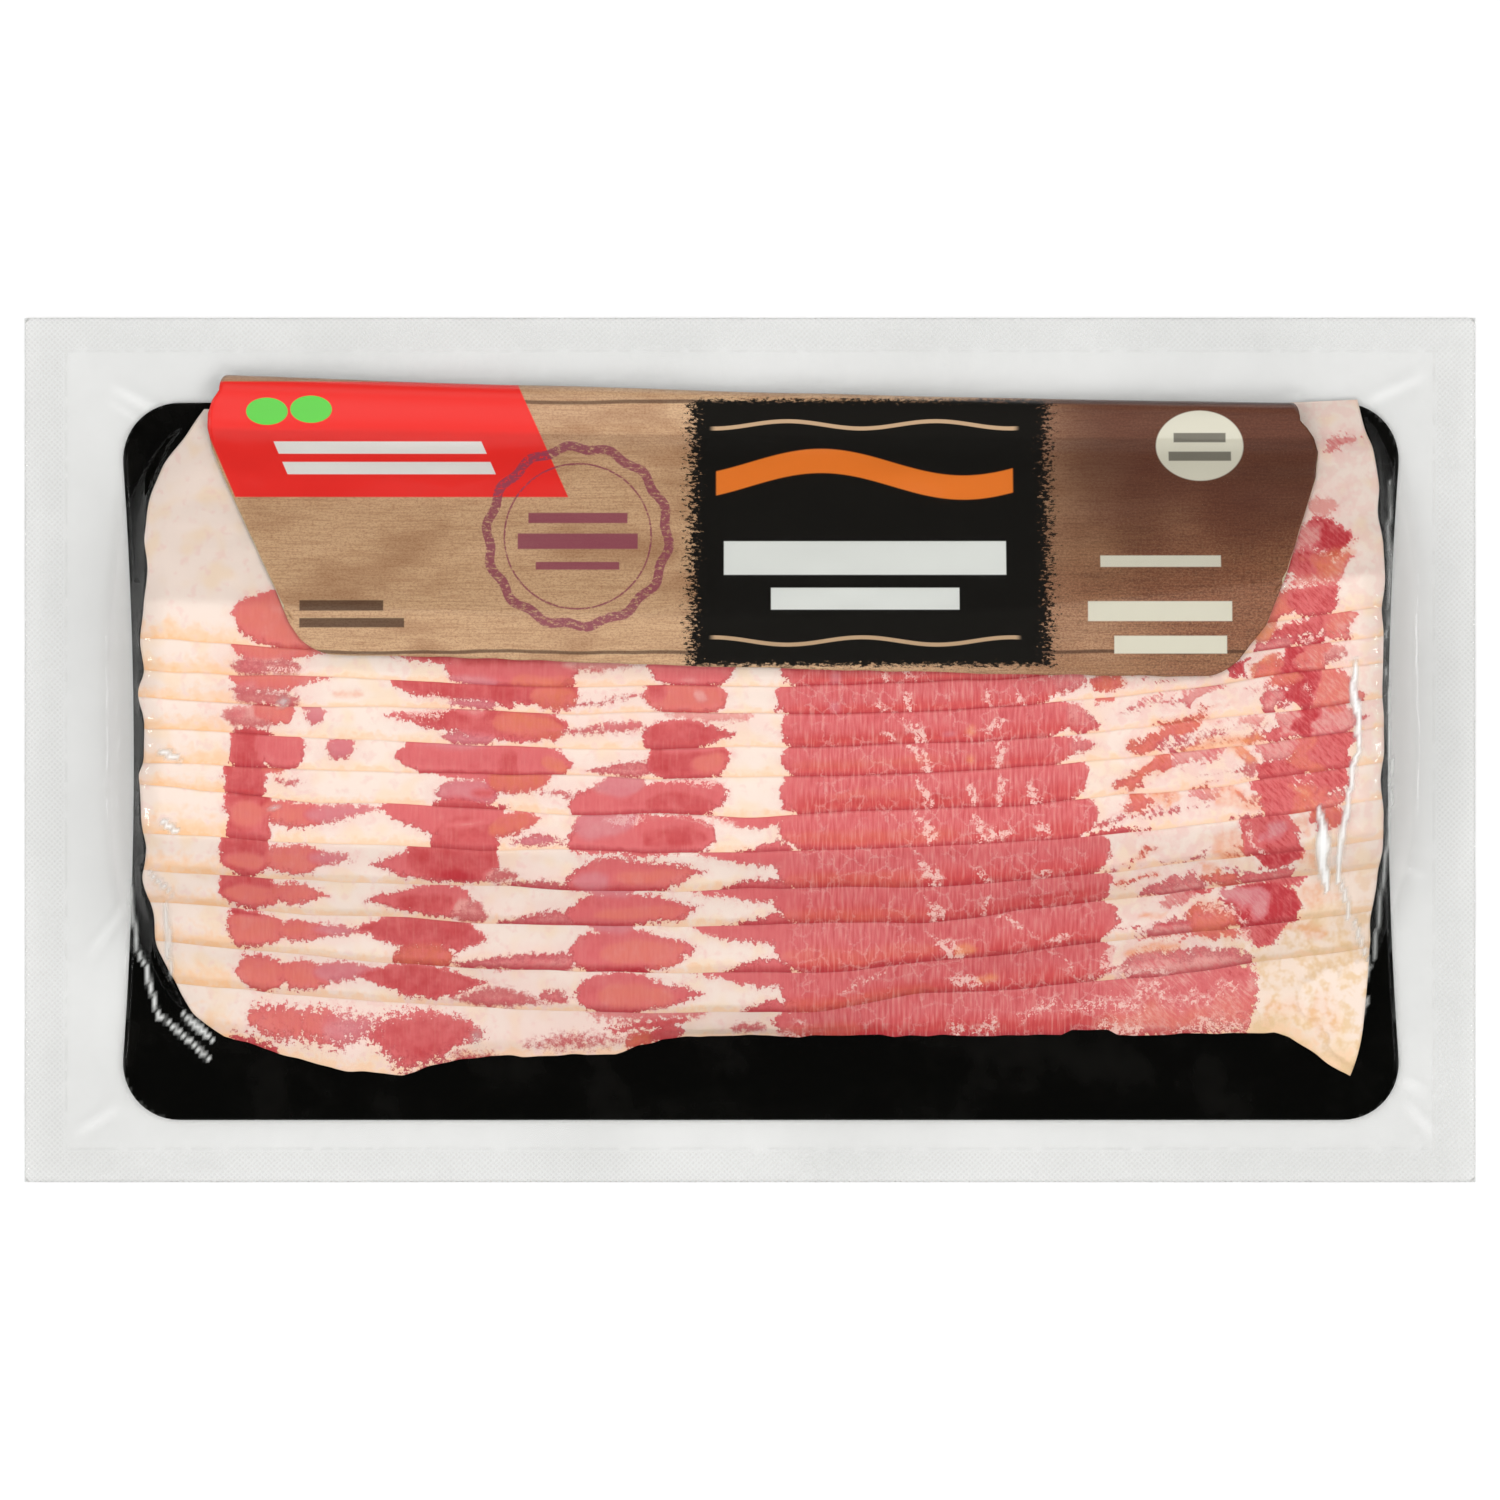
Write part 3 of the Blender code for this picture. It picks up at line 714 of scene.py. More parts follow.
        Streak(LEAN, -5.0, 8.5, -0.5, 0.24, 0.0, Tip.LEFT),
        Streak(SALMON, 6.0, 40.0, 0.1, 0.52),
        Streak(VEIN, 31.2, 33.6, 0.62, 0.86, -0.4, Tip.LEFT),
        Streak(VEIN, 33.2, 35.5, 0.10, 0.60, -0.2),
        Streak(VEIN, 42.6, 44.6, 0.30, 0.75, -0.3),
        Streak(VEIN, 43.6, 50.3, 0.12, 0.34, 0.08),
        Streak(VEIN, 54.4, 57.5, 0.12, 0.45, -0.2),
        Streak(ROSE, 63.5, 92.5, 0.14, 0.70, 0.25, Tip.BOTH),
        Streak(RED, 64.0, 76.0, -0.3, 0.20, 0.0, Tip.RIGHT),
        Streak(RUST, 70.8, 78.0, 0.36, 1.2, 0.3),
        Streak(ORANGE, 77.5, 81.5, 0.5, 1.3, 0.2),
        Streak(ROSE, 82.0, 91.0, 0.62, 1.3),
        Streak(ORANGE, 89.0, 96.0, 0.56, 1.0, -0.55),
        Streak(AMBER, 88.0, 98.0, 0.30, 0.9, -0.5),
        Streak(RED, 96.2, 105.8, -0.2, 1.5, -0.2),
        Streak(ROSE, 90.0, 100.0, -0.2, 0.16),
        Streak(RUST, 104.0, 110.5, -0.1, 0.72),
        Streak(ORANGE, 103.5, 107.5, 0.30, 0.6, -0.4, Tip.BOTH),
        Streak(RED, 105.5, 114.4, 0.42, 1.5),
        Streak(SALMON, 107.0, 113.5, -0.2, 0.45),
    ),
    (
        Streak(RED, -101.0, -92.0, -0.3, 1.5),
        Streak(RUST, -93.5, -86.0, 0.84, 1.4, 0.1, Tip.RIGHT),
        Streak(ROSE, -91.0, -85.5, 0.50, 0.70),
        Streak(LEAN, -68.0, -45.0, 0.82, 1.5, -0.1, Tip.LEFT),
        Streak(LILAC, -60.0, -47.5, 0.06, 0.82, 0.1),
        Streak(RUST, -50.5, -37.5, 0.46, 1.4, 0.1),
        Streak(RED, -61.0, -46.0, -0.3, 0.30, 0.05, Tip.RIGHT),
        Streak(RED, -53.0, -48.0, 0.30, 0.60, 0.1),
        Streak(ROSE, -41.0, -27.0, 0.42, 0.62, 0.1, Tip.BOTH),
        Streak(LEAN, -35.0, -4.4, -0.1, 0.90, 0.40),
        Streak(RED, -20.0, -7.0, -0.1, 0.62),
        Streak(LILAC, -30.0, -20.0, 0.40, 1.3, 0.3, Tip.LEFT),
        Streak(FAT, -18.5, -3.0, 0.82, 1.02, -0.1, Tip.LEFT),
        Streak(LEAN, 5.6, 64.8, -0.3, 1.5),
        Streak(RED, 5.9, 40.0, 0.0, 0.44),
        Streak(SALMON, 14.0, 34.0, 0.3, 0.60),
        Streak(VEIN, 30.6, 32.8, 0.62, 0.88, -0.4, Tip.LEFT),
        Streak(VEIN, 32.4, 34.7, 0.05, 0.60, -0.35),
        Streak(VEIN, 42.0, 43.8, 0.05, 0.58, -0.25),
        Streak(VEIN, 46.8, 48.8, 0.05, 0.85, 0.4),
        Streak(VEIN, 53.0, 55.8, 0.05, 0.45, -0.35),
        Streak(RUST, 69.0, 82.5, 0.22, 0.96, 0.55),
        Streak(RUST, 76.0, 90.0, -0.3, 0.22, 0.2, Tip.BOTH),
        Streak(ROSE, 80.0, 92.0, 0.60, 1.4, 0.2),
        Streak(ORANGE, 90.5, 97.0, 0.40, 1.0, -0.4),
        Streak(PALE, 84.0, 98.0, 0.1, 0.5),
        Streak(RED, 96.0, 105.0, -0.3, 0.62),
        Streak(ROSE, 97.0, 106.0, 0.50, 1.4),
        Streak(RUST, 103.5, 109.5, -0.3, 1.5),
        Streak(RED, 107.0, 115.2, -0.3, 1.5),
    ),
    (
        Streak(RED, -99.8, -92.0, -0.2, 1.5),
        Streak(LEAN, -95.0, -84.6, -0.05, 1.4),
        Streak(DEEP, -99.0, -90.0, -0.2, 0.16, 0.0, Tip.RIGHT),
        Streak(LILAC, -81.0, -75.8, 0.36, 1.02, 0.2),
        Streak(LEAN, -67.5, -33.8, -0.2, 1.25, -0.2),
        Streak(LILAC, -64.0, -48.0, 0.72, 1.2, 0.1, Tip.BOTH),
        Streak(RED, -48.5, -44.0, -0.3, 0.90, -0.2),
        Streak(RUST, -40.0, -34.4, 0.10, 0.66, -0.3),
        Streak(ROSE, -31.0, -18.0, -0.05, 0.58, 0.2, Tip.LEFT),
        Streak(RED, -20.0, -3.8, -0.1, 1.3),
        Streak(SALMON, -11.0, -4.2, 0.1, 0.8),
        Streak(ROSE, -17.0, -5.0, 0.84, 1.3),
        Streak(LEAN, 6.0, 62.2, -0.3, 1.5),
        Streak(SALMON, 8.0, 38.0, 0.2, 0.55),
        Streak(VEIN, 29.8, 32.0, 0.62, 0.88, -0.4, Tip.LEFT),
        Streak(VEIN, 31.6, 34.2, 0.02, 0.60, -0.35),
        Streak(ORANGE, 41.5, 43.3, 0.2, 0.5),
        Streak(VEIN, 46.3, 48.6, 0.12, 0.82, 0.5),
        Streak(ROSE, 60.0, 66.0, 0.3, 0.9, -0.2, Tip.RIGHT),
        Streak(RUST, 71.5, 85.5, 0.10, 1.02, 0.75),
        Streak(ROSE, 77.0, 92.0, 0.05, 0.62, 0.3),
        Streak(ORANGE, 82.0, 98.5, -0.1, 0.36, -0.1),
        Streak(PALE, 86.0, 98.0, 0.5, 1.1),
        Streak(RUST, 84.0, 91.0, 0.80, 1.4, 0.2),
        Streak(RED, 97.0, 105.5, -0.2, 0.62),
        Streak(ROSE, 100.0, 116.5, -0.3, 1.4),
        Streak(DEEP, 103.4, 108.4, -0.3, 1.5, -0.1),
        Streak(RUST, 110.0, 114.5, 0.66, 1.2),
    ),
    (
        Streak(PALE, -100.6, -90.0, 0.16, 1.00),
        Streak(ROSE, -100.0, -96.0, 0.40, 0.9),
        Streak(SALMON, -95.0, -86.4, 0.36, 1.4),
        Streak(RED, -99.0, -90.5, -0.3, 0.24, 0.0, Tip.RIGHT),
        Streak(LILAC, -85.0, -81.6, 0.44, 1.3),
        Streak(RED, -70.0, -35.0, 0.18, 1.15, -0.1, Tip.LEFT),
        Streak(FAT, -66.5, -57.8, 0.72, 1.4),
        Streak(ROSE, -57.0, -50.0, 0.80, 1.3),
        Streak(LILAC, -58.5, -48.2, 0.04, 0.38, 0.1),
        Streak(RUST, -49.0, -35.5, 0.26, 1.0, -0.3),
        Streak(ROSE, -38.5, -19.5, 0.40, 0.68, 0.10, Tip.LEFT),
        Streak(RED, -20.5, -2.6, -0.2, 0.84, 0.1, Tip.RIGHT),
        Streak(PALE, -16.0, 0.0, 0.72, 1.1),
        Streak(LEAN, 5.6, 62.0, -0.3, 1.5),
        Streak(RED, 5.8, 38.0, 0.0, 0.42),
        Streak(VEIN, 29.0, 31.2, 0.52, 0.74, -0.35, Tip.LEFT),
        Streak(VEIN, 31.0, 33.6, 0.02, 0.50, -0.35),
        Streak(VEIN, 26.0, 28.2, 0.15, 0.42, -0.2),
        Streak(LILAC, 36.5, 39.0, 0.16, 0.42),
        Streak(ORANGE, 41.0, 43.0, 0.16, 0.5),
        Streak(VEIN, 44.5, 48.2, 0.25, 0.6, 0.3, Tip.BOTH),
        Streak(ROSE, 60.0, 67.0, -0.1, 0.9, -0.3, Tip.RIGHT),
        Streak(PALE, 68.0, 96.0, 0.30, 0.80, 0.3, Tip.BOTH),
        Streak(ROSE, 71.5, 81.0, 0.38, 0.86, 0.3),
        Streak(RUST, 74.0, 91.5, -0.2, 0.40, 0.45, Tip.BOTH),
        Streak(ROSE, 79.0, 90.5, 0.45, 1.2, 0.2),
        Streak(RUST, 66.0, 72.0, 0.9, 1.3, 0.3),
        Streak(ROSE, 96.5, 102.5, -0.1, 0.85),
        Streak(SALMON, 104.0, 116.2, -0.1, 1.4, -0.6),
        Streak(DEEP, 101.6, 108.2, -0.3, 1.5, -0.2),
        Streak(VEIN, 104.6, 107.6, 0.30, 0.66, -0.3),
        Streak(RUST, 100.0, 104.0, 0.8, 1.3),
    ),
    (
        Streak(SALMON, -99.4, -79.5, 0.46, 1.5, 0.1, Tip.RIGHT),
        Streak(PALE, -98.5, -86.0, -0.05, 0.52),
        Streak(ROSE, -99.0, -94.0, 0.30, 0.80),
        Streak(RED, -97.0, -88.0, -0.25, 0.10, 0.0, Tip.BOTH),
        Streak(AMBER, -80.0, -74.0, 0.3, 0.6),
        Streak(RED, -69.0, -32.8, 0.30, 1.5, -0.2),
        Streak(LILAC, -57.5, -48.0, 0.04, 0.42),
        Streak(FAT, -63.5, -57.0, -0.1, 0.48),
        Streak(RUST, -42.0, -33.0, 0.1, 1.0),
        Streak(RED, -48.5, -45.0, 0.1, 0.9, -0.3),
        Streak(ROSE, -36.0, -19.0, 0.38, 0.54, 0.30, Tip.BOTH),
        Streak(SALMON, -20.4, -4.4, -0.1, 1.3),
        Streak(RED, -20.0, -15.5, 0.3, 1.4),
        Streak(PALE, -11.0, -8.0, 0.4, 0.9),
        Streak(LEAN, 4.6, 58.8, -0.3, 1.5),
        Streak(RED, 4.8, 38.0, 0.0, 0.3),
        Streak(VEIN, 29.4, 31.4, 0.02, 0.70, -0.3),
        Streak(VEIN, 24.8, 25.8, 0.02, 0.42),
        Streak(LILAC, 15.0, 17.2, 0.08, 0.5),
        Streak(VEIN, 44.8, 46.0, 0.2, 0.6, -0.2),
        Streak(VEIN, 51.0, 52.2, 0.1, 0.5, -0.3),
        Streak(ROSE, 57.5, 64.5, 0.2, 1.3, -0.2, Tip.RIGHT),
        Streak(RUST, 64.5, 73.0, 0.20, 0.90),
        Streak(RUST, 72.0, 84.0, 0.60, 1.2, -0.2),
        Streak(ROSE, 72.0, 84.0, 0.20, 0.66, 0.0, Tip.BOTH),
        Streak(PALE, 84.0, 95.0, 0.2, 0.8),
        Streak(DEEP, 90.6, 94.8, 0.12, 0.80),
        Streak(ORANGE, 95.5, 102.0, -0.1, 0.80, 0.2, Tip.BOTH),
        Streak(RUST, 97.0, 104.0, -0.3, 0.6),
        Streak(DEEP, 101.5, 107.0, -0.3, 1.5, 0.2),
        Streak(SALMON, 105.5, 110.5, -0.3, 1.2),
        Streak(PALE, 109.5, 114.0, 0.2, 0.9),
    ),
    (
        Streak(SALMON, -99.2, -79.5, 0.40, 1.6, 0.1, Tip.RIGHT),
        Streak(PALE, -99.0, -86.0, -0.05, 0.60),
        Streak(ROSE, -98.0, -93.0, 0.05, 0.62),
        Streak(FAT, -92.6, -86.6, 0.04, 0.26),
        Streak(RED, -69.0, -33.0, 0.50, 1.6, 0.2, Tip.LEFT),
        Streak(LEAN, -58.0, -33.0, -0.2, 1.5),
        Streak(RED, -56.0, -38.0, 0.60, 1.3),
        Streak(FAT, -62.5, -57.0, -0.1, 0.46),
        Streak(LILAC, -57.0, -48.0, -0.1, 0.34),
        Streak(RUST, -46.0, -33.4, -0.1, 0.4),
        Streak(PALE, -36.0, -21.0, 0.50, 1.0, 0.1, Tip.RIGHT),
        Streak(LEAN, -19.8, -3.0, -0.1, 1.5),
        Streak(ROSE, -14.0, -9.5, 0.0, 0.35),
        Streak(LEAN, 5.6, 62.0, -0.3, 1.5),
        Streak(RED, 5.8, 30.0, 0.4, 1.0),
        Streak(LILAC, 14.8, 17.5, 0.05, 0.6),
        Streak(VEIN, 24.8, 26.3, 0.05, 0.48, -0.2),
        Streak(VEIN, 29.8, 31.0, 0.05, 0.55, -0.2),
        Streak(ORANGE, 95.0, 102.0, 0.2, 1.3, 0.4, Tip.BOTH),
        Streak(ROSE, 96.0, 104.0, -0.2, 0.50),
        Streak(RED, 101.0, 112.5, 0.36, 1.1, 0.1),
        Streak(DEEP, 102.5, 109.5, -0.3, 0.40),
        Streak(SALMON, 108.5, 115.0, 0.10, 1.4, -0.2),
        Streak(VEIN, 104.0, 108.0, 0.08, 0.26, 0.2),
    ),
    (
        Streak(SALMON, -98.8, -60.0, -0.1, 1.5),
        Streak(LEAN, -60.0, 98.0, -0.1, 1.2),
        Streak(RUST, 97.5, 106.5, -0.1, 0.9, 0.3),
        Streak(RED, 102.0, 112.8, -0.1, 0.95, -0.2),
        Streak(ORANGE, 96.0, 102.0, 0.3, 1.4, 0.4, Tip.BOTH),
        Streak(SALMON, 104.5, 116.0, 0.90, 1.65, 0.2),
        Streak(RED, 100.0, 110.0, 1.1, 1.9, 0.3),
        Streak(DEEP, 105.0, 115.5, 1.55, 2.9, -0.3, Tip.RIGHT),
        Streak(ROSE, 102.0, 109.0, 1.8, 2.6, 0.3),
        Streak(VEIN, 104.0, 112.0, 1.0, 1.12, 0.3, Tip.BOTH),
        Streak(VEIN, 107.0, 114.0, 1.65, 1.80, -0.4, Tip.BOTH),
        Streak(AMBER, 106.0, 116.0, 1.2, 1.9),
        Streak(PALE, 106.0, 112.0, 2.9, 3.4),
        Streak(ROSE, 108.0, 117.0, 4.55, 5.0, 0.1, Tip.BOTH),
    ),
)


@dataclass(frozen=True)
class MeatFinish:
    """Cured pork: streaks by stored distance, tone, warmth and height in the exposed strip."""

    fat: Colour = matt(240, 223, 212)
    fat_yellow: Colour = matt(241, 214, 182)
    fat_pink: Colour = matt(236, 200, 192)
    fat_vein: Colour = matt(240, 204, 194)
    pale: Colour = matt(226, 162, 154)
    lean: Colour = matt(216, 108, 110)
    deep: Colour = matt(190, 56, 64)
    band: Colour = matt(206, 70, 66)
    # line is painted shade: the dark crimson along each slice's lower edge, where it steps down to the slice below
    line: Colour = matt(172, 44, 54)
    rim: Colour = matt(184, 62, 72)
    core: Colour = matt(224, 136, 112)
    orange: Colour = matt(234, 150, 92)
    smoke: Colour = matt(244, 190, 138)
    mottle: Colour = matt(226, 190, 140)
    lilac: Colour = matt(206, 134, 146)
    roughness: float = 0.38

    def build(self) -> bpy.types.Material:
        """Makes the material."""
        nodes = Nodes("cured_pork")
        x, y, z = nodes.place()
        where = nodes.point(x, y, z)
        grain = nodes.noise(where, 0.9, 2.0, 0.6)
        fine = nodes.noise(where, 3.2, 1.0, 0.6)
        patchy = nodes.noise(where, 0.16, 1.0, 0.5)
        blotch = nodes.noise(where, 0.42, 2.0, 0.6)
        fibre = nodes.noise(nodes.point(x * 1.9, y * 0.22, z), 1.0, 1.0, 0.65)
        slant = nodes.noise(nodes.point((x - y) * 0.30, (x + y) * 1.3, z), 1.0, 2.0, 0.65)
        height = nodes.attribute("strip")
        warm = nodes.attribute("warm")
        firm = nodes.attribute("firm")
        inside = nodes.attribute("inside") + ((grain - 0.5) * 2.6 + (fine - 0.5) * 1.3) * firm
        in_loin = x.step(5.0, 12.0) * x.step(72.0, 64.0)
        in_belly = x.step(66.0, 74.0)
        inside = inside + (slant - 0.5) * in_belly * 2.6 * firm - in_belly * x.step(97.0, 91.0) * 0.5
        tone = nodes.attribute("tone") + (patchy - 0.5) * 0.30 + (blotch - 0.5) * 0.35 + (slant - 0.62) * in_belly
        lean_share = inside.step(-0.16, 0.26)
        net = nodes.cracks(nodes.point(x + (grain - 0.5) * 1.8, y + (fine - 0.5) * 1.2, z), 0.36)
        veins = net.step(0.09, 0.0) * patchy.step(0.42, 0.60) * in_loin * 0.34
        marbled = nodes.attribute("vein")
        branch = (marbled + (grain - 0.5) * 1.5 + (fine - 0.5) * 0.9).step(0.86, 1.02) * 0.85
        branch = branch.most(net.step(0.10, 0.01) * marbled.step(0.30, 0.80) * 0.45)
        lean = nodes.layered(self.pale, [(tone.step(0.0, 0.5), self.lean), (tone.step(0.5, 1.0), self.deep)])
        rim = inside.step(1.0, 0.10) * (height + (blotch - 0.5) * 0.5).step(0.95, 0.35) * 0.75
        core = inside.step(0.9, 2.3) * warm.step(0.08, 0.20) * in_loin.step(0.5, 0.0) * 0.22
        low_band = (height + (patchy - 0.5) * 0.3).step(0.62, 0.12) * 0.65 * in_loin
        # Painted shade: a dark crimson line along the lower edge of each strip of lean, standing in for the shade of
        # the step to the slice below
        painted_edge_shade = (height + (blotch - 0.5) * 0.14).step(0.17, 0.0) * 0.75
        lean = nodes.layered(lean, [(core, self.core), (rim, self.rim), (low_band, self.band), (painted_edge_shade, self.line)])
        lean = nodes.mix(veins, lean, self.fat_pink)
        strands = (fibre - 0.5) * (0.3 + in_loin * 0.9)
        streaked = nodes.mix((strands * 1.3).held(), lean, self.deep)
        streaked = nodes.mix((strands * -1.3).held(), streaked, self.pale)
        streaked = nodes.mix(branch, streaked, self.fat_vein)
        yellow = (patchy + height.step(0.5, 0.0) * 0.25).step(0.48, 0.72) * 0.55
        left_end = x.step(-96.0, -101.0)
        smoke_line = (height + (blotch - 0.5) * 0.6).step(0.20, 0.0) * (0.45 + left_end * 0.35)
        smoke_line = smoke_line.most((height + (blotch - 0.5) * 1.1).step(0.62, 0.05) * left_end * 0.55)
        blush = inside.step(-1.8, -0.1) * 0.40 + (blotch + in_belly * 0.12).step(0.56, 0.72) * 0.45
        low_right = x.step(84.0, 100.0) * y.step(-12.0, -40.0)
        mottle = low_right * (0.16 + (blotch + patchy * 0.4).step(0.60, 0.90) * 0.60)
        fat = nodes.layered(self.fat, [(yellow, self.fat_yellow), (blush * (1.0 - low_right), self.fat_pink)])
        fat = nodes.layered(fat, [(smoke_line, self.smoke), (mottle, self.mottle)])
        whole = nodes.mix(lean_share, fat, streaked)
        warm_share = (warm * (0.70 + (blotch - 0.5) * 1.6)).held() * 0.75
        cool_share = (warm * -0.75).held() * lean_share
        whole = nodes.layered(whole, [(warm_share, self.orange), (cool_share, self.lilac)])
        surface = nodes.principled({
            "Base Color": whole,
            "Roughness": self.roughness,
            "Specular IOR Level": 0.35,
            "Normal": nodes.bump(grain, 0.05, 0.6),
        })
        return nodes.finish(surface)


@dataclass
class Slices:
    """The shingled slices of bacon."""

    sheet: RowSheet
    columns: int = 430
    strip_lines: int = 26
    strip_end: float = 1.14
    hidden_lines: int = 9
    last_step: float = 0.09
    nose_radius: float = 1.7
    belly_start: float = 66.0
    belly_looseness: float = 2.4

    def lines(self, index: int) -> Array:
        """Rows of a slice's grid lines: close together over its exposed strip, which for the
        topmost slice is all of it, and crowded at its rounded edge."""
        nose = np.array([0.0, 0.015, 0.04, 0.08])
        if index == self.sheet.count - 1:
            return index + np.concatenate([nose, np.arange(0.12, self.sheet.overlap, self.last_step), [self.sheet.overlap]])
        strip = np.linspace(0.12, self.strip_end, self.strip_lines)
        hidden = np.linspace(self.strip_end, self.sheet.overlap, self.hidden_lines + 1)[1:]
        return index + np.concatenate([nose, strip, hidden])

    def pattern(self, index: int, x: Array, v: Array) -> dict[str, Array]:
        """Stored numbers of a slice: millimetres inside lean, tone, warmth, veins and firmness.

        A streak of lean joins what is there by the larger distance, one of fat cuts it out
        by the smaller, and a stain changes the warmth alone.
        """
        top = index + 1 if index + 1 < self.sheet.count else index
        pitch = max(self.sheet.edges[top] - self.sheet.edges[index], self.sheet.hidden_pitch * (top == index))
        loose = 1 + self.belly_looseness * smooth(self.belly_start, self.belly_start + 10, x)
        x = x + loose * (0.55 * Lattice(31 + index)(x / 3.6, v * 2.2) + 0.25 * Lattice(51)(x / 1.3, v * 5))
        v = v + loose * (0.06 * Lattice(71 + index)(x / 5.5, v * 1.5) + 0.03 * Lattice(52)(x / 1.6, v * 4))
        inside, tone, warm = np.full_like(x, -3.0), np.full_like(x, 0.3), np.zeros_like(x)
        vein, firmness = np.zeros_like(x), np.ones_like(x)
        for streak in STREAKS[index]:
            depth = streak.inside(x, v, pitch)
            soft = smooth(-0.6, 1.1, depth)
            new_tone, new_warm, firm = streak.meat.value
            if streak.meat is Meat.VEIN:
                vein = np.maximum(vein, smooth(-2.2, 0.8, depth))
            elif streak.meat is Meat.FAT:
                inside = np.minimum(inside, -depth)
            elif streak.meat is Meat.AMBER:
                warm = warm + soft * (new_warm - warm)
            else:
                firmness = np.where(depth * firm > inside, firm, firmness)
                inside = np.maximum(inside, depth * firm)
                tone = tone + soft * (new_tone - tone)
                warm = warm + soft * (new_warm - warm)
        return {"inside": inside, "tone": tone, "warm": warm, "vein": vein, "firm": firmness}

    def build_one(self, index: int, material: bpy.types.Material) -> bpy.types.Object:
        """One slice: its underside on the pile, raised by its thickness, with a rounded edge."""
        s, row = np.meshgrid(np.linspace(0.0, 1.0, self.columns), self.lines(index), indexing="ij")
        x, y = self.sheet.place(s, row)
        low = self.sheet.pile(index, s, row) + self.sheet.gap
        thickness = self.sheet.slice_thickness(index, s, row)
        pitch = self.sheet.edge(np.array(index + 1.0)) - self.sheet.edge(np.array(float(index)))
        inward = np.clip((row - index) * pitch / self.nose_radius, 0.0, 1.0)
        rounded = 0.05 + 0.95 * np.sin(inward * math.pi / 2)
        waves = 0.10 * Lattice(91 + index)(x / 4.0, y / 2.6) - 0.12
        high = low + thickness * rounded + waves * inward
        piece = shell(f"cut_{index + 1:02d}", np.stack([x, y, high], -1), np.stack([x, y, low], -1))
        v = row - index
        stored = self.pattern(index, x, v)
        stored["strip"] = v
        for name, values in stored.items():
            set_attribute(piece, name, np.concatenate([values.ravel(), values.ravel()]))
        piece.data.materials.append(material)
        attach(piece, "root")
        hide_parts(f"slice_{index + 1:02d}")
        return piece

    def build(self) -> list[bpy.types.Object]:
        """All the slices."""
        material = MeatFinish().build()
        return [self.build_one(index, material) for index in range(self.sheet.count)]


@dataclass(frozen=True)
class BlackFinish:
    """The glossy black inner face of the card, with lighter cloudy patches of painted reflection."""

    colour: Colour = matt(4, 4, 3)
    # Colour of the painted reflection: lighter patches over the black
    painted_reflection: Colour = matt(17, 16, 14)
    roughness: float = 0.22

    def build(self) -> bpy.types.Material:
        """Makes the material."""
        nodes = Nodes("card_black")
        x, y, z = nodes.place()
        cloud = nodes.noise(nodes.point(x, y, z), 0.06, 3.0, 0.6)
        grain = nodes.noise(nodes.point(x, y, z), 2.4, 2.0, 0.6)
        # Painted reflection: lighter cloudy patches mixed into the black's colour
        surface = nodes.principled({
            "Base Color": nodes.mix(cloud.step(0.45, 0.75) * 0.7, self.colour, self.painted_reflection),
            "Roughness": self.roughness,
            "Specular IOR Level": 0.08,
            "Normal": nodes.bump(grain, 0.02, 0.4),
        })
        return nodes.finish(surface)


@dataclass(frozen=True)
class EdgeFinish:
    """The card's pale cut edge."""

    colour: Colour = matt(214, 205, 170)
    roughness: float = 0.7

    def build(self) -> bpy.types.Material:
        """Makes the material."""
        nodes = Nodes("card_edge")
        x, y, z = nodes.place()
        fibres = nodes.noise(nodes.point(x, y, z * 4), 5.0, 3.0, 0.7)
        darker = tuple(0.7 * value for value in self.colour)
        base = nodes.mix(fibres.step(0.35, 0.7), self.colour, darker)
        return nodes.finish(nodes.principled({"Base Color": base, "Roughness": self.roughness}))


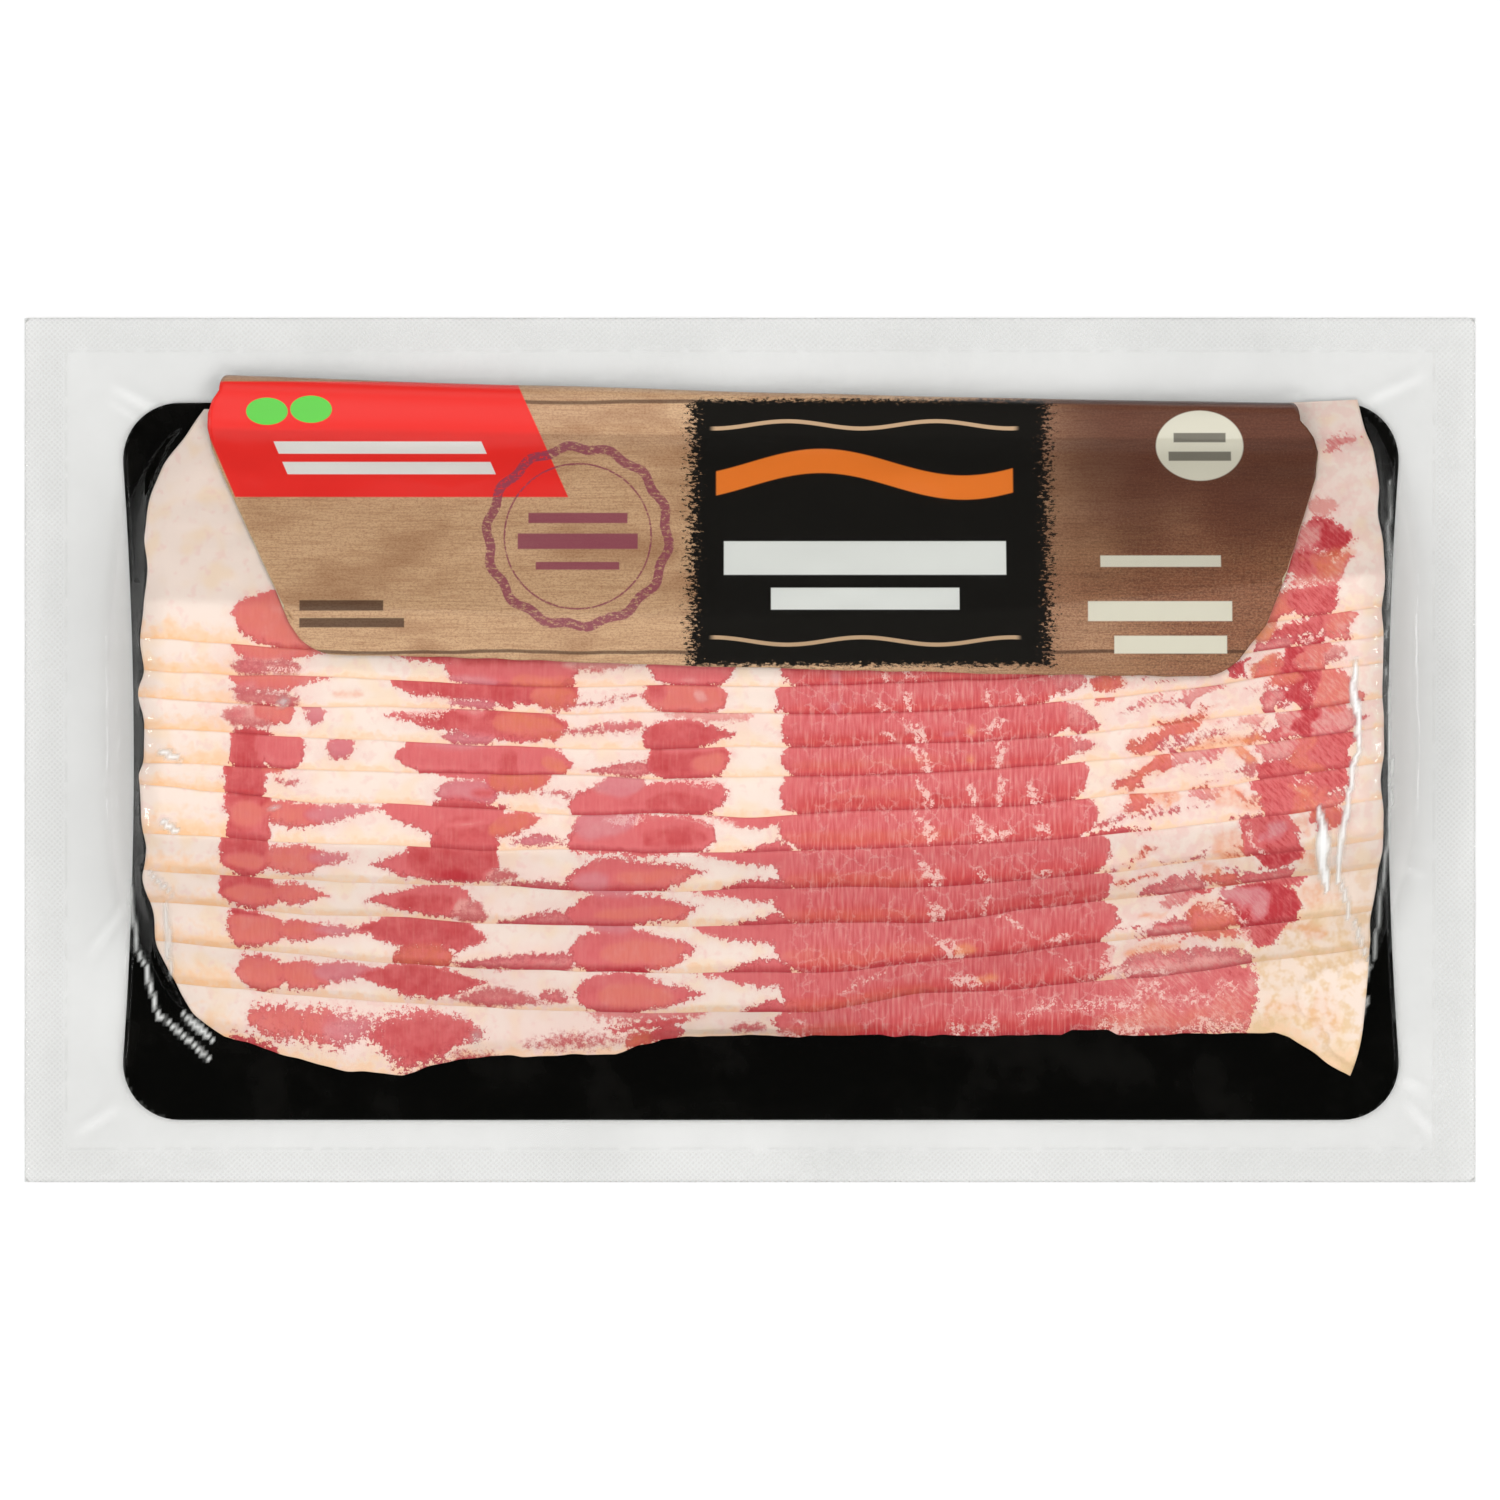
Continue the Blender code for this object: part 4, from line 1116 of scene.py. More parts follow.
@dataclass(frozen=True)
class PrintFinish:
    """The card's printed outer face: boards of wood under generic fields, bars and discs.

    The design lies on the flap, and the rest of the outer face has the boards alone.
    """

    tan: Colour = matt(208, 172, 134)
    tan_dark: Colour = matt(158, 114, 80)
    brown: Colour = matt(150, 98, 70)
    umber: Colour = matt(84, 46, 36)
    crack: Colour = matt(60, 36, 28)
    red: Colour = matt(234, 46, 40)
    green: Colour = matt(98, 205, 76)
    purple: Colour = matt(142, 67, 87)
    black: Colour = matt(20, 18, 15)
    orange: Colour = matt(235, 125, 43)
    white: Colour = matt(228, 230, 225)
    cream: Colour = matt(212, 208, 190)
    grey: Colour = matt(120, 116, 104)
    roughness: float = 0.34

    def build(self) -> bpy.types.Material:
        """Makes the material."""
        nodes = Nodes("card_print")
        x, y, z = nodes.place()
        flat = nodes.point(x, y, 0.0)
        wander = nodes.noise(flat, 0.05, 2.0, 0.5)
        grain = nodes.noise(nodes.point(x * 0.10, y * 2.6 + wander * 2.0, 0.0), 1.0, 4.0, 0.65)
        fleck = nodes.noise(nodes.point(x * 0.9, y * 3.4, 0.0), 1.0, 2.0, 0.7)
        rough = nodes.noise(nodes.point(x * 0.8, y * 1.8, 4.0), 1.0, 4.0, 0.75)
        rightward = (x / 110.0 + (wander - 0.5) * 0.5).step(0.15, 0.85)
        upper = ((y - 26) / 30.0 + (wander - 0.5) * 0.5).step(0.0, 0.9) * (x / 110.0).step(0.40, 0.62)
        wood = nodes.mix(rightward, self.tan, self.brown)
        shade = nodes.noise(nodes.point(x * 0.035, y * 0.09, 7.0), 1.0, 3.0, 0.6)
        wood = nodes.mix(shade.step(0.45, 0.75) * 0.65, wood, self.tan_dark)
        wood = nodes.mix(grain.step(0.42, 0.70) * 0.45, wood, nodes.mix(rightward, self.tan_dark, self.umber))
        wood = nodes.mix(fleck.step(0.50, 0.70) * 0.45, wood, nodes.mix(rightward, self.tan_dark, self.crack))
        speck = nodes.noise(nodes.point(x * 2.2, y * 2.8, 9.0), 1.0, 2.0, 0.7)
        wood = nodes.mix(speck.step(0.46, 0.70) * 0.40, wood, nodes.mix(rightward, self.brown, self.umber))
        wood = nodes.mix(speck.step(0.50, 0.30) * 0.22, wood, self.tan)
        wood = nodes.mix((upper * 0.80).held(), wood, self.umber)
        corner = ((y - 44) / 26.0 + (shade - 0.5)).step(0.2, 1.0) * (x / -110.0).step(0.1, 0.7)
        wood = nodes.mix(corner * 0.55, wood, self.brown)
        seams = (abs(y - 66.4 - wander).step(0.5, 0.2)).most(abs(y - 19.2 + wander).step(0.45, 0.2))
        wood = nodes.mix(seams * 0.7, wood, self.crack)
        layers = self.design(nodes, x, y, rough)
        on_flap = z.step(1.4, 1.7)
        printed = nodes.mix(on_flap, wood, nodes.layered(wood, layers))
        surface = nodes.principled({
            "Base Color": printed,
            "Roughness": self.roughness,
            "Coat Weight": 0.25,
            "Coat Roughness": 0.12,
            "Normal": nodes.bump(grain, 0.02, 0.4),
        })
        return nodes.finish(surface)

    @staticmethod
    def box(x: Signal, y: Signal, left: float, right: float, low: float, high: float, soft: float = 0.12) -> Signal:
        """Share inside an upright box: the product of two bands."""
        across = (x - left).least(right - x)
        along = (y - low).least(high - y)
        return across.least(along).step(-soft, soft)

    @staticmethod
    def disc(x: Signal, y: Signal, centre: tuple[float, float], radii: tuple[float, float]) -> Signal:
        """Distance from a centre in units of two radii."""
        across, along = (x - centre[0]) / radii[0], (y - centre[1]) / radii[1]
        return (across * across + along * along) ** 0.5

    def design(self, nodes: Nodes, x: Signal, y: Signal, rough: Signal) -> list[tuple[Signal, Any]]:
        """The generic design's layers over the boards, each a share and a colour."""
        slant = x + (y - 60) * 0.45
        band = (slant + 104).least(-40 - slant).least(y - 48.5).least(71 - y).step(-0.1, 0.2)
        bars = (abs(y - 54.2).step(1.3, 1.1)).most(abs(y - 58.2).step(1.3, 1.1)) * (slant + 92).least(-52 - slant).step(-0.1, 0.1)
        leaf = self.disc(x, y, (-93.0, 65.2), (4.0, 2.6)).least(self.disc(x, y, (-84.5, 65.6), (4.0, 2.6)))
        seal = self.disc(x, y, (-33.0, 41.0), (18.5, 18.5)) + (rough - 0.5) * 0.02
        angle = (y - 41.0).math("ARCTAN2", x + 33.0)
        scallop = seal + (angle * 14.0).sine() * 0.022
        ring = (abs(scallop - 0.93).step(0.055, 0.045)).most(abs(seal - 0.76).step(0.012, 0.006))
        seal_bars = self.box(x, y, -42.5, -23.5, 43.5, 45.5).most(self.box(x, y, -44.5, -21.5, 38.5, 41.5))
        seal_bars = seal_bars.most(self.box(x, y, -41.0, -25.0, 34.5, 36.0))
        ragged = (rough - 0.5) * 13.0
        brushed = (x + 11.5 + ragged).least(57.5 + ragged - x).least(y - 16.0 + ragged * 0.35).least(67.5 - ragged * 0.3 - y)
        dark = brushed.step(-0.3, 0.5)
        wave = abs(y - 53.0 - (x * 0.115).sine() * 2.6)
        stroke = wave.step(2.5, 2.2) * (x + 6.5).least(50.5 - x).step(-0.2, 0.2)
        rules = self.box(x, y, -5.0, 49.0, 33.5, 40.0).most(self.box(x, y, 4.0, 40.0, 26.8, 31.0))
        thin = (abs(y - 62.6 - (x * 0.22).sine() * 0.7).step(0.45, 0.3)).most(abs(y - 20.8 + (x * 0.22).sine() * 0.7).step(0.45, 0.3))
        thin = thin * abs(x - 22).step(30.0, 28.5)
        oval = self.disc(x, y, (86.5, 58.5), (8.4, 6.8))
        oval_bars = self.box(x, y, 81.5, 91.5, 59.2, 61.0).most(self.box(x, y, 80.5, 92.5, 55.6, 57.4))
        labels = self.box(x, y, -86.0, -70.0, 26.6, 28.6).most(self.box(x, y, -86.0, -66.0, 23.4, 25.2))
        tags = self.box(x, y, 67.0, 90.0, 35.0, 37.2).most(self.box(x, y, 64.5, 92.0, 24.6, 28.4))
        tags = tags.most(self.box(x, y, 69.5, 91.0, 18.4, 21.8))
        return [
            (band, self.red),
            (bars * band, self.white),
            (leaf.step(1.03, 0.97), self.green),
            (ring * rough.step(0.34, 0.50) * 0.9, self.purple),
            (seal_bars * 0.9, self.purple),
            (dark, self.black),
            (stroke, self.orange),
            (rules, self.white),
            (thin * dark * 0.8, self.tan),
            (oval.step(1.02, 0.98), self.cream),
            (oval_bars, self.grey),
            (labels * 0.8, self.crack),
            (tags, self.cream),
        ]


@dataclass
class Card:
    """The card under the slices, and its head folded over them as a printed flap."""

    sheet: RowSheet
    thickness: float = 0.6
    left: float = -121.9
    right: float = 126.1
    foot: float = -71.4
    head: float = 67.0
    corner: float = 12.0
    waist: float = 3.0
    fold_left: tuple[float, float] = (-100.7, 69.2)
    fold_right: tuple[float, float] = (104.3, 63.4)
    clearance: float = 0.5
    flare: float = 0.0148
    lip: tuple[tuple[float, float], ...] = ((-90.0, 18.2), (-67.0, 17.9), (-9.0, 15.9), (42.0, 14.7), (88.0, 14.0), (98.0, 14.2))
    lip_corner: float = 6.0
    left_side: tuple[tuple[float, float], ...] = (
        (14.0, -83.0), (21.0, -86.6), (30.0, -90.4), (42.0, -96.2), (52.0, -101.0), (58.0, -103.6),
        (62.0, -104.4), (65.0, -104.3), (67.5, -103.5), (69.2, -102.2),
    )
    right_side: tuple[tuple[float, float], ...] = (
        (14.0, 92.5), (20.0, 95.4), (24.0, 98.6), (34.0, 102.6), (43.0, 105.6), (52.0, 108.6), (57.0, 109.3), (60.0, 108.5),
        (62.0, 107.2), (63.4, 105.8),
    )

    def sides(self, y: Array) -> tuple[Array, Array]:
        """X of the panel's side edges at y, with round corners and a waist."""
        middle, half = (self.foot + self.head) / 2, (self.head - self.foot) / 2
        waist = self.waist * np.maximum(0.0, 1 - ((y - middle) / half) ** 2)
        past = np.clip(np.maximum(self.foot + self.corner - y, y - self.head + self.corner), 0.0, self.corner)
        inset = self.corner - np.sqrt(self.corner**2 - past**2) + waist
        return self.left + inset, self.right - inset

    def fold(self, x: Array) -> Array:
        """Y of the line at which the card turns over, straight between its two ends."""
        (left, left_y), (right, right_y) = self.fold_left, self.fold_right
        return left_y + (x - left) / (right - left) * (right_y - left_y)

    def covered(self, x: Array, y: Array) -> Array:
        """Height of the pile under the taut flap at X and Y."""
        return self.sheet.taut(*self.sheet.find(x, y))

    def panel(self) -> bpy.types.Object:
        """The panel: a flat sheet between its side edges, its lines crowded at the corners."""
        turn = np.linspace(0.0, math.pi / 2, 14)
        ends = self.corner * (1 - np.cos(turn))
        middle = np.linspace(self.foot + self.corner, self.head - self.corner, 50)[1:-1]
        y = np.concatenate([self.foot + ends, middle, (self.head - ends)[::-1]])
        u, y = np.meshgrid(np.linspace(0.0, 1.0, 120), y, indexing="ij")
        left, right = self.sides(y)
        x = left + u * (right - left)
        top = np.full_like(x, self.sheet.card_top)
        under = top - self.thickness
        return shell("board_panel", np.stack([x, y, top], -1), np.stack([x, y, under], -1), 1, 2)

    def flap_sheet(self) -> Array:
        """The flap's inner face as a grid: a half turn from the panel's head, then the flap.

        The half turn's radius is half the height from the panel to the flap. Past it, lines
        run to the lip, which is rounded at its two corners as the sides are.
        """
        u = np.linspace(0.0, 1.0, 240)
        head_x = self.fold_left[0] + u * (self.fold_right[0] - self.fold_left[0])
        fold_y = self.fold(head_x)
        height = self.covered(head_x, np.full_like(head_x, 58.0)) + self.clearance
        radius = (height - self.sheet.card_top) / 2
        turn = np.linspace(0.0, math.pi, 13)[None, :]
        arc_y = fold_y[:, None] + radius[:, None] * np.sin(turn)
        arc_z = self.sheet.card_top + radius[:, None] * (1 - np.cos(turn))
        spread = 1 + self.flare * np.maximum(0.0, -np.cos(turn))
        arc = np.stack([head_x[:, None] * spread, arc_y, arc_z], -1)
        share = np.linspace(0.0, 1.0, 96)[1:]
        lip_x = np.array([point[0] for point in self.lip])
        lip_y = np.array([point[1] for point in self.lip])
        span = self.lip[-1][0] - self.lip[0][0]
        inward = np.minimum(u, 1 - u) * span
        past = np.clip(self.lip_corner - inward, 0.0, self.lip_corner)
        raised = self.lip_corner - np.sqrt(self.lip_corner**2 - past**2)
        lip = np.interp(self.lip[0][0] + u * span, lip_x, lip_y) + raised + 0.12 * Lattice(21)(u * 40, u * 0)
        y = fold_y[:, None] + share[None, :] * (lip - fold_y)[:, None]
        left = np.interp(y, *np.array(self.left_side).T)
        right = np.interp(y, *np.array(self.right_side).T)
        x = left + u[:, None] * (right - left)
        z = self.covered(x, y) + self.clearance
        z = height[:, None] + smooth(0.0, 0.25, np.broadcast_to(share[None, :], z.shape)) * (z - height[:, None])
        return np.concatenate([arc, np.stack([x, y, z], -1)], axis=1)

    def flap(self) -> bpy.types.Object:
        """The fold and flap: the inner face moved out along its normal by the card's thickness."""
        inner = self.flap_sheet()
        normal = np.cross(np.gradient(inner, axis=0), np.gradient(inner, axis=1))
        normal /= np.linalg.norm(normal, axis=-1, keepdims=True)
        return shell("board_flap", inner, inner - normal * self.thickness, 1, 2)

    def build(self) -> list[bpy.types.Object]:
        """Builds and dresses the card."""
        pieces = [self.panel(), self.flap()]
        finishes = [BlackFinish().build(), EdgeFinish().build(), PrintFinish().build()]
        for piece, slot in zip(pieces, ("board", "print")):
            for finish in finishes:
                piece.data.materials.append(finish)
            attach(piece, "root")
            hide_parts("l_board")
        return pieces


@dataclass(frozen=True)
class Crease:
    """A straight ridge in the upper web.

    Attributes:
        start: X and Y of one end.
        stop: X and Y of the other end.
        height: how far it stands up.
        width: how far it spreads to each side.
    """

    start: tuple[float, float]
    stop: tuple[float, float]
    height: float
    width: float

    def lift(self, x: Array, y: Array) -> Array:
        """Height of the ridge: a bell across it that swells from nothing at both its ends."""
        along = np.array(self.stop) - np.array(self.start)
        length = math.hypot(*along)
        share = ((x - self.start[0]) * along[0] + (y - self.start[1]) * along[1]) / length**2
        off = ((x - self.start[0]) * along[1] - (y - self.start[1]) * along[0]) / length
        swell = np.sin(np.clip(share, 0.0, 1.0) * math.pi) ** 0.6
        return self.height * swell * np.exp(-((off / self.width) ** 2))


@dataclass(frozen=True)
class PaintedHighlight:
    """A painted highlight on the upper web: a straight white line, painted into the film's colour, that tapers to both
    its ends.

    Attributes:
        start: X and Y of one end.
        stop: X and Y of the other end.
        width: how far it spreads to each side of its middle.
        white: how white it is, from 0 to 1.
    """

    start: tuple[float, float]
    stop: tuple[float, float]
    width: float
    white: float

    def share(self, x: Array, y: Array) -> Array:
        """How white points are, from 0 to 1: less with their distance from the line."""
        run, rise = self.stop[0] - self.start[0], self.stop[1] - self.start[1]
        off_x, off_y = x - self.start[0], y - self.start[1]
        along = np.clip((off_x * run + off_y * rise) / (run * run + rise * rise), 0.0, 1.0)
        across = np.hypot(off_x - along * run, off_y - along * rise)
        reach = 0.35 + self.width * np.sin(along * math.pi)
        return self.white * smooth(1.0, 0.25, across / reach)


@dataclass(frozen=True)
class FilmFinish:
    """Clear film: see-through, with a gloss that grows at a glance and a slight grey haze.

    The haze comes from a number stored on the piece, and the seal bands are quilted. White lines of painted highlight
    come from a second stored number.
    """

    name: str = "clear_film"
    haze: Colour = matt(205, 207, 203)
    # Colour of the painted highlights, laid into the veil where they lie
    painted_highlight: Colour = matt(252, 252, 250)
    tint: Colour = (0.996, 0.996, 0.994)
    roughness: float = 0.06
    quilt_pitch: float = 1.1

    def build(self) -> bpy.types.Material:
        """Makes the material."""
        nodes = Nodes(self.name)
        x, y, z = nodes.place()
        band = (abs(x) - 132.6).most(abs(y) - 77.6).step(-0.1, 0.1)
        turn = math.pi / self.quilt_pitch
        diamonds = abs(((x + y) * turn).sine()) * abs(((x - y) * turn).sine())
        ripple = nodes.noise(nodes.point(x, y, z), 0.26, 1.0, 0.5)
        height = diamonds * band * 0.35 + ripple
        normal = nodes.bump(height, 0.30, 0.5)
        clear = nodes.add("ShaderNodeBsdfTransparent", {}, {"Color": (*self.tint, 1.0)})
        gloss = nodes.add("ShaderNodeBsdfGlossy", {}, {"Color": (1.0, 1.0, 1.0, 1.0), "Roughness": self.roughness, "Normal": normal})
        glance = nodes.add("ShaderNodeFresnel", {}, {"IOR": 1.45, "Normal": normal}) * 0.38
        shiny = nodes.add("ShaderNodeMixShader", {}, {0: glance, 1: clear, 2: gloss})
        seal = (abs(abs(x) - 132.0).step(0.45, 0.1)).most(abs(abs(y) - 77.0).step(0.45, 0.1))
        seal = seal * (abs(x) - 132.6).most(abs(y) - 77.6).step(0.3, 0.0) * ripple.step(0.30, 0.55)
        haze = nodes.attribute("haze")
        # Painted highlight: a stored share that turns the veil near white along given lines
        white = nodes.attribute("painted_highlight")
        share = haze + (diamonds.step(0.25, 0.7) * band * 0.035) + seal * 0.04
        veil_colour = nodes.mix(white, self.haze, self.painted_highlight)
        veil = nodes.principled({"Base Color": veil_colour, "Roughness": 0.4, "Normal": normal})
        share = share.most(white).held()
        return nodes.finish(nodes.add("ShaderNodeMixShader", {}, {0: share, 1: shiny, 2: veil}))


@dataclass(frozen=True)
class BackFinish:
    """The hidden face of a clear web, which only lets light through."""

    tint: Colour = (0.996, 0.996, 0.994)

    def build(self) -> bpy.types.Material:
        """Makes the material."""
        nodes = Nodes("clear_film_back")
        return nodes.finish(nodes.add("ShaderNodeBsdfTransparent", {}, {"Color": (*self.tint, 1.0)}))


@dataclass
class Film:
    """The two clear webs of the pouch."""

    sheet: RowSheet
    card: Card
    length: float = 280.0
    width: float = 166.8
    base_thickness: float = 0.3
    thickness: float = 0.1
    flange: float = 0.65
    rest: float = 0.35
    stretch_rounds: int = 160
    steepest: float = 0.70
    pull: float = 0.045
    # Lines of painted highlight on the upper web, mostly over the stack's two ends
    painted_highlights: tuple[PaintedHighlight, ...] = (
        PaintedHighlight((115.2, 17.5), (116.2, -0.6), 0.55, 1.0),
        PaintedHighlight((116.2, 0.8), (113.9, -9.5), 0.50, 0.9),
        PaintedHighlight((114.0, -8.0), (112.6, -25.5), 0.60, 0.9),
        PaintedHighlight((112.6, -23.5), (115.2, -32.5), 0.35, 0.7),
        PaintedHighlight((109.0, -10.8), (110.2, -27.0), 1.30, 0.95),
        PaintedHighlight((116.2, -32.5), (119.6, -42.0), 0.35, 0.6),
        PaintedHighlight((119.6, -40.5), (116.8, -49.0), 0.40, 0.8),
        PaintedHighlight((118.8, -48.0), (115.6, -57.5), 0.45, 0.6),
        PaintedHighlight((122.2, 16.0), (122.9, -10.5), 0.30, 0.6),
        PaintedHighlight((122.8, -8.0), (120.6, -40.0), 0.25, 0.5),
        PaintedHighlight((123.4, 52.0), (121.8, 20.0), 0.35, 0.4),
        PaintedHighlight((-112.6, -0.2), (-109.0, -2.0), 0.65, 0.9),
        PaintedHighlight((-112.6, -13.2), (-109.0, -15.8), 0.60, 0.9),
        PaintedHighlight((-114.8, -23.4), (-110.8, -27.6), 0.30, 0.6),
        PaintedHighlight((-112.0, -29.6), (-111.7, -44.0), 0.35, 0.6),
        PaintedHighlight((-109.4, -50.4), (-103.8, -56.0), 0.70, 0.8),
        PaintedHighlight((-118.4, -36.0), (-114.2, -51.5), 0.28, 0.8),
        PaintedHighlight((-114.6, -50.5), (-104.2, -59.8), 0.26, 0.8),
        PaintedHighlight((-119.6, -24.0), (-118.2, -37.0), 0.30, 0.6),
        PaintedHighlight((-52.6, -54.0), (-52.0, -58.6), 0.35, 0.5),
        PaintedHighlight((-90.0, 11.0), (-88.6, 7.4), 0.25, 0.5),
        PaintedHighlight((-92.5, -9.6), (-90.2, -11.2), 0.22, 0.5),
    )
    creases: tuple[Crease, ...] = (
        Crease((-124.0, 70.5), (-113.5, 64.5), 0.9, 1.0),
        Crease((-125.0, 68.0), (-114.0, 61.0), 0.7, 0.7),
        Crease((118.0, 66.5), (131.0, 72.5), 0.8, 1.0),
        Crease((-121.5, -69.0), (-131.0, -74.5), 0.7, 0.9),
        Crease((126.0, -68.0), (133.0, -75.0), 0.7, 0.9),
        Crease((-117.7, -38.4), (-113.9, -52.1), 0.6, 0.6),
        Crease((-113.9, -52.1), (-104.5, -59.5), 0.6, 0.6),
        Crease((-119.5, -29.0), (-128.3, -40.5), 0.5, 0.7),
        Crease((-118.2, 18.3), (-124.0, 16.0), 0.6, 0.8),
        Crease((-119.0, -3.9), (-125.0, -6.5), 0.6, 0.8),
        Crease((115.6, 14.0), (116.2, -0.6), 0.5, 0.7),
        Crease((116.2, 0.8), (112.8, -20.5), 0.5, 0.7),
        Crease((112.6, -18.0), (115.2, -32.5), 0.4, 0.7),
        Crease((116.2, -33.0), (119.4, -42.0), 0.4, 0.7),
        Crease((120.7, 0.0), (127.0, -3.0), 0.6, 0.8),
        Crease((124.6, -22.2), (131.0, -25.0), 0.6, 0.8),
        Crease((124.6, -63.7), (131.0, -66.0), 0.6, 0.8),
    )

    def grid(self) -> tuple[Array, Array]:
        """A grid over the pouch, finer across its two ends than along its middle."""
        left = np.linspace(-self.length / 2, -96.0, 64)
        middle = np.linspace(-96.0, 96.0, 112)[1:-1]
        right = np.linspace(96.0, self.length / 2, 64)
        y = np.linspace(-self.width / 2, self.width / 2, 190)
        return np.meshgrid(np.concatenate([left, middle, right]), y, indexing="ij")

    def content(self, x: Array, y: Array) -> Array:
        """Height of what lies in the pouch: flange, card, slices and flap."""
        left, right = self.card.sides(np.clip(y, self.card.foot, self.card.head))
        on_card = (x > left) & (x < right) & (y > self.card.foot) & (y < self.card.head)
        height = np.where(on_card, self.sheet.card_top, self.flange)
        s, row = self.sheet.find(x, y)
        place_x, place_y = self.sheet.place(np.clip(s, 0, 1), row)
        on_stack = (s > 0) & (s < 1) & (np.abs(place_y - y) < 0.6)
        pile = self.sheet.cover(s, row)
        height = np.where(on_stack, pile, height)
        flap_left = np.interp(y, *np.array(self.card.left_side).T)
        flap_right = np.interp(y, *np.array(self.card.right_side).T)
        lip = np.interp(x, *np.array(self.card.lip).T)
        on_flap = (x > flap_left) & (x < flap_right) & (y > lip) & (y < self.card.fold(x) + 2.5)
        lift = self.card.clearance + self.card.thickness + self.rest
        return np.where(on_flap, self.sheet.taut(s, row) + lift, height)

    def drape(self, x: Array, y: Array) -> Array:
        """Height of the upper web: a stretched sheet with a slight pull down over the content.

        Each round moves every point to the mean of its neighbours less the pull, and back up
        to the content where it has sunk into it. Then the steepest slopes along Y are eased.
        """
        floor = self.content(x, y) + self.rest
        z = floor.copy()
        inside = (slice(1, -1), slice(1, -1))
        for _ in range(self.stretch_rounds):
            mean = (z[2:, 1:-1] + z[:-2, 1:-1] + z[1:-1, 2:] + z[1:-1, :-2]) / 4
            z[inside] = np.maximum(floor[inside], mean - self.pull)
        drop = self.steepest * (y[0, 1] - y[0, 0])
        for _ in range(3):
            z[:, 1:] = np.maximum(z[:, 1:], z[:, :-1] - drop)
            z[:, :-1] = np.maximum(z[:, :-1], z[:, 1:] - drop)
        rim = np.minimum(self.length / 2 - np.abs(x), self.width / 2 - np.abs(y))
        z = z + sum(crease.lift(x, y) for crease in self.creases) * smooth(4.0, 9.0, rim)
        waves = 0.22 * Lattice(22)(x / 13, y / 11) + 0.10 * Lattice(23)(x / 4.5, y / 5)
        flat = smooth(1.6, 0.6, z - self.flange)
        return z + np.maximum(waves, -0.1) * flat * smooth(0.0, 3.0, rim)

    def upper(self, materials: list[bpy.types.Material]) -> bpy.types.Object:
        """The upper web with its haze, which is more over the flange, and its lines of painted highlight."""
        x, y = self.grid()
        z = self.drape(x, y)
        piece = shell("film_upper", np.stack([x, y, z + self.thickness], -1), np.stack([x, y, z], -1), 0, 1)
        low = smooth(2.4, 0.9, z)
        on_card = smooth(0.05, 0.40, self.content(x, y) - self.flange)
        cloud = 1 + 0.25 * Lattice(25)(x / 16, y / 16)
        haze = 0.0006 + 0.12 * low * (1 - on_card) * cloud
        set_attribute(piece, "haze", np.concatenate([haze.ravel(), haze.ravel()]))
        # Painted highlight: how white each point of the web is painted, stored for its finish
        bent = x + 0.5 * Lattice(24)(x / 3.0, y / 3.0)
        white = np.max([painted_highlight.share(bent, y) for painted_highlight in self.painted_highlights], axis=0)
        set_attribute(piece, "painted_highlight", np.concatenate([white.ravel(), white.ravel()]))
        return self.dress(piece, materials, "film_top")

    def lower(self, materials: list[bpy.types.Material]) -> bpy.types.Object:
        """The lower web, a flat sheet."""
        x, y = np.meshgrid(np.linspace(-self.length / 2, self.length / 2, 150), np.linspace(-self.width / 2, self.width / 2, 90), indexing="ij")
        high = np.full_like(x, self.base_thickness)
        piece = shell("film_lower", np.stack([x, y, high], -1), np.stack([x, y, high * 0], -1), 1, 1)
        haze = np.full(x.size, 0.02)
        set_attribute(piece, "haze", np.concatenate([haze, haze]))
        return self.dress(piece, materials[::-1], "film_base")

    def dress(self, piece: bpy.types.Object, materials: list[bpy.types.Material], node: str) -> bpy.types.Object:
        """Gives a web its finishes and its place in the part."""
        for material in materials:
            piece.data.materials.append(material)
        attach(piece, "root")
        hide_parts(node)
        return piece

    def build(self) -> list[bpy.types.Object]:
        """Both webs."""
        materials = [FilmFinish().build(), BackFinish().build()]
        return [self.lower(materials), self.upper(materials)]


@dataclass(frozen=True)
class Softbox:
    """A square area light that points at the pack's middle.

    Attributes:
        name: the light's name.
        azimuth: degrees round the pack from +X.
        elevation: degrees above the floor.
        power: watts.
        size: metres along each side.
        distance: metres from the pack.
        shines: whether it shows in glossy surfaces, as only the glint lights do.
    """

    name: str
    azimuth: float
    elevation: float
    power: float
    size: float = 0.9
    distance: float = 1.3
    shines: bool = False

    def build(self) -> bpy.types.Object:
        """Adds the light."""
        light = bpy.data.lights.new(self.name, "AREA")
        light.shape = "SQUARE"
        light.size = self.size
        light.energy = self.power
        lamp = bpy.data.objects.new(self.name, light)
        turn, tilt = math.radians(self.azimuth), math.radians(self.elevation)
        lamp.location = (
            self.distance * math.cos(turn) * math.cos(tilt),
            self.distance * math.sin(turn) * math.cos(tilt),
            self.distance * math.sin(tilt),
        )
        lamp.rotation_euler = (math.pi / 2 - tilt, 0.0, turn + math.pi / 2)
        lamp.visible_glossy = self.shines
        lamp.visible_camera = False
        bpy.context.scene.collection.objects.link(lamp)
        return lamp


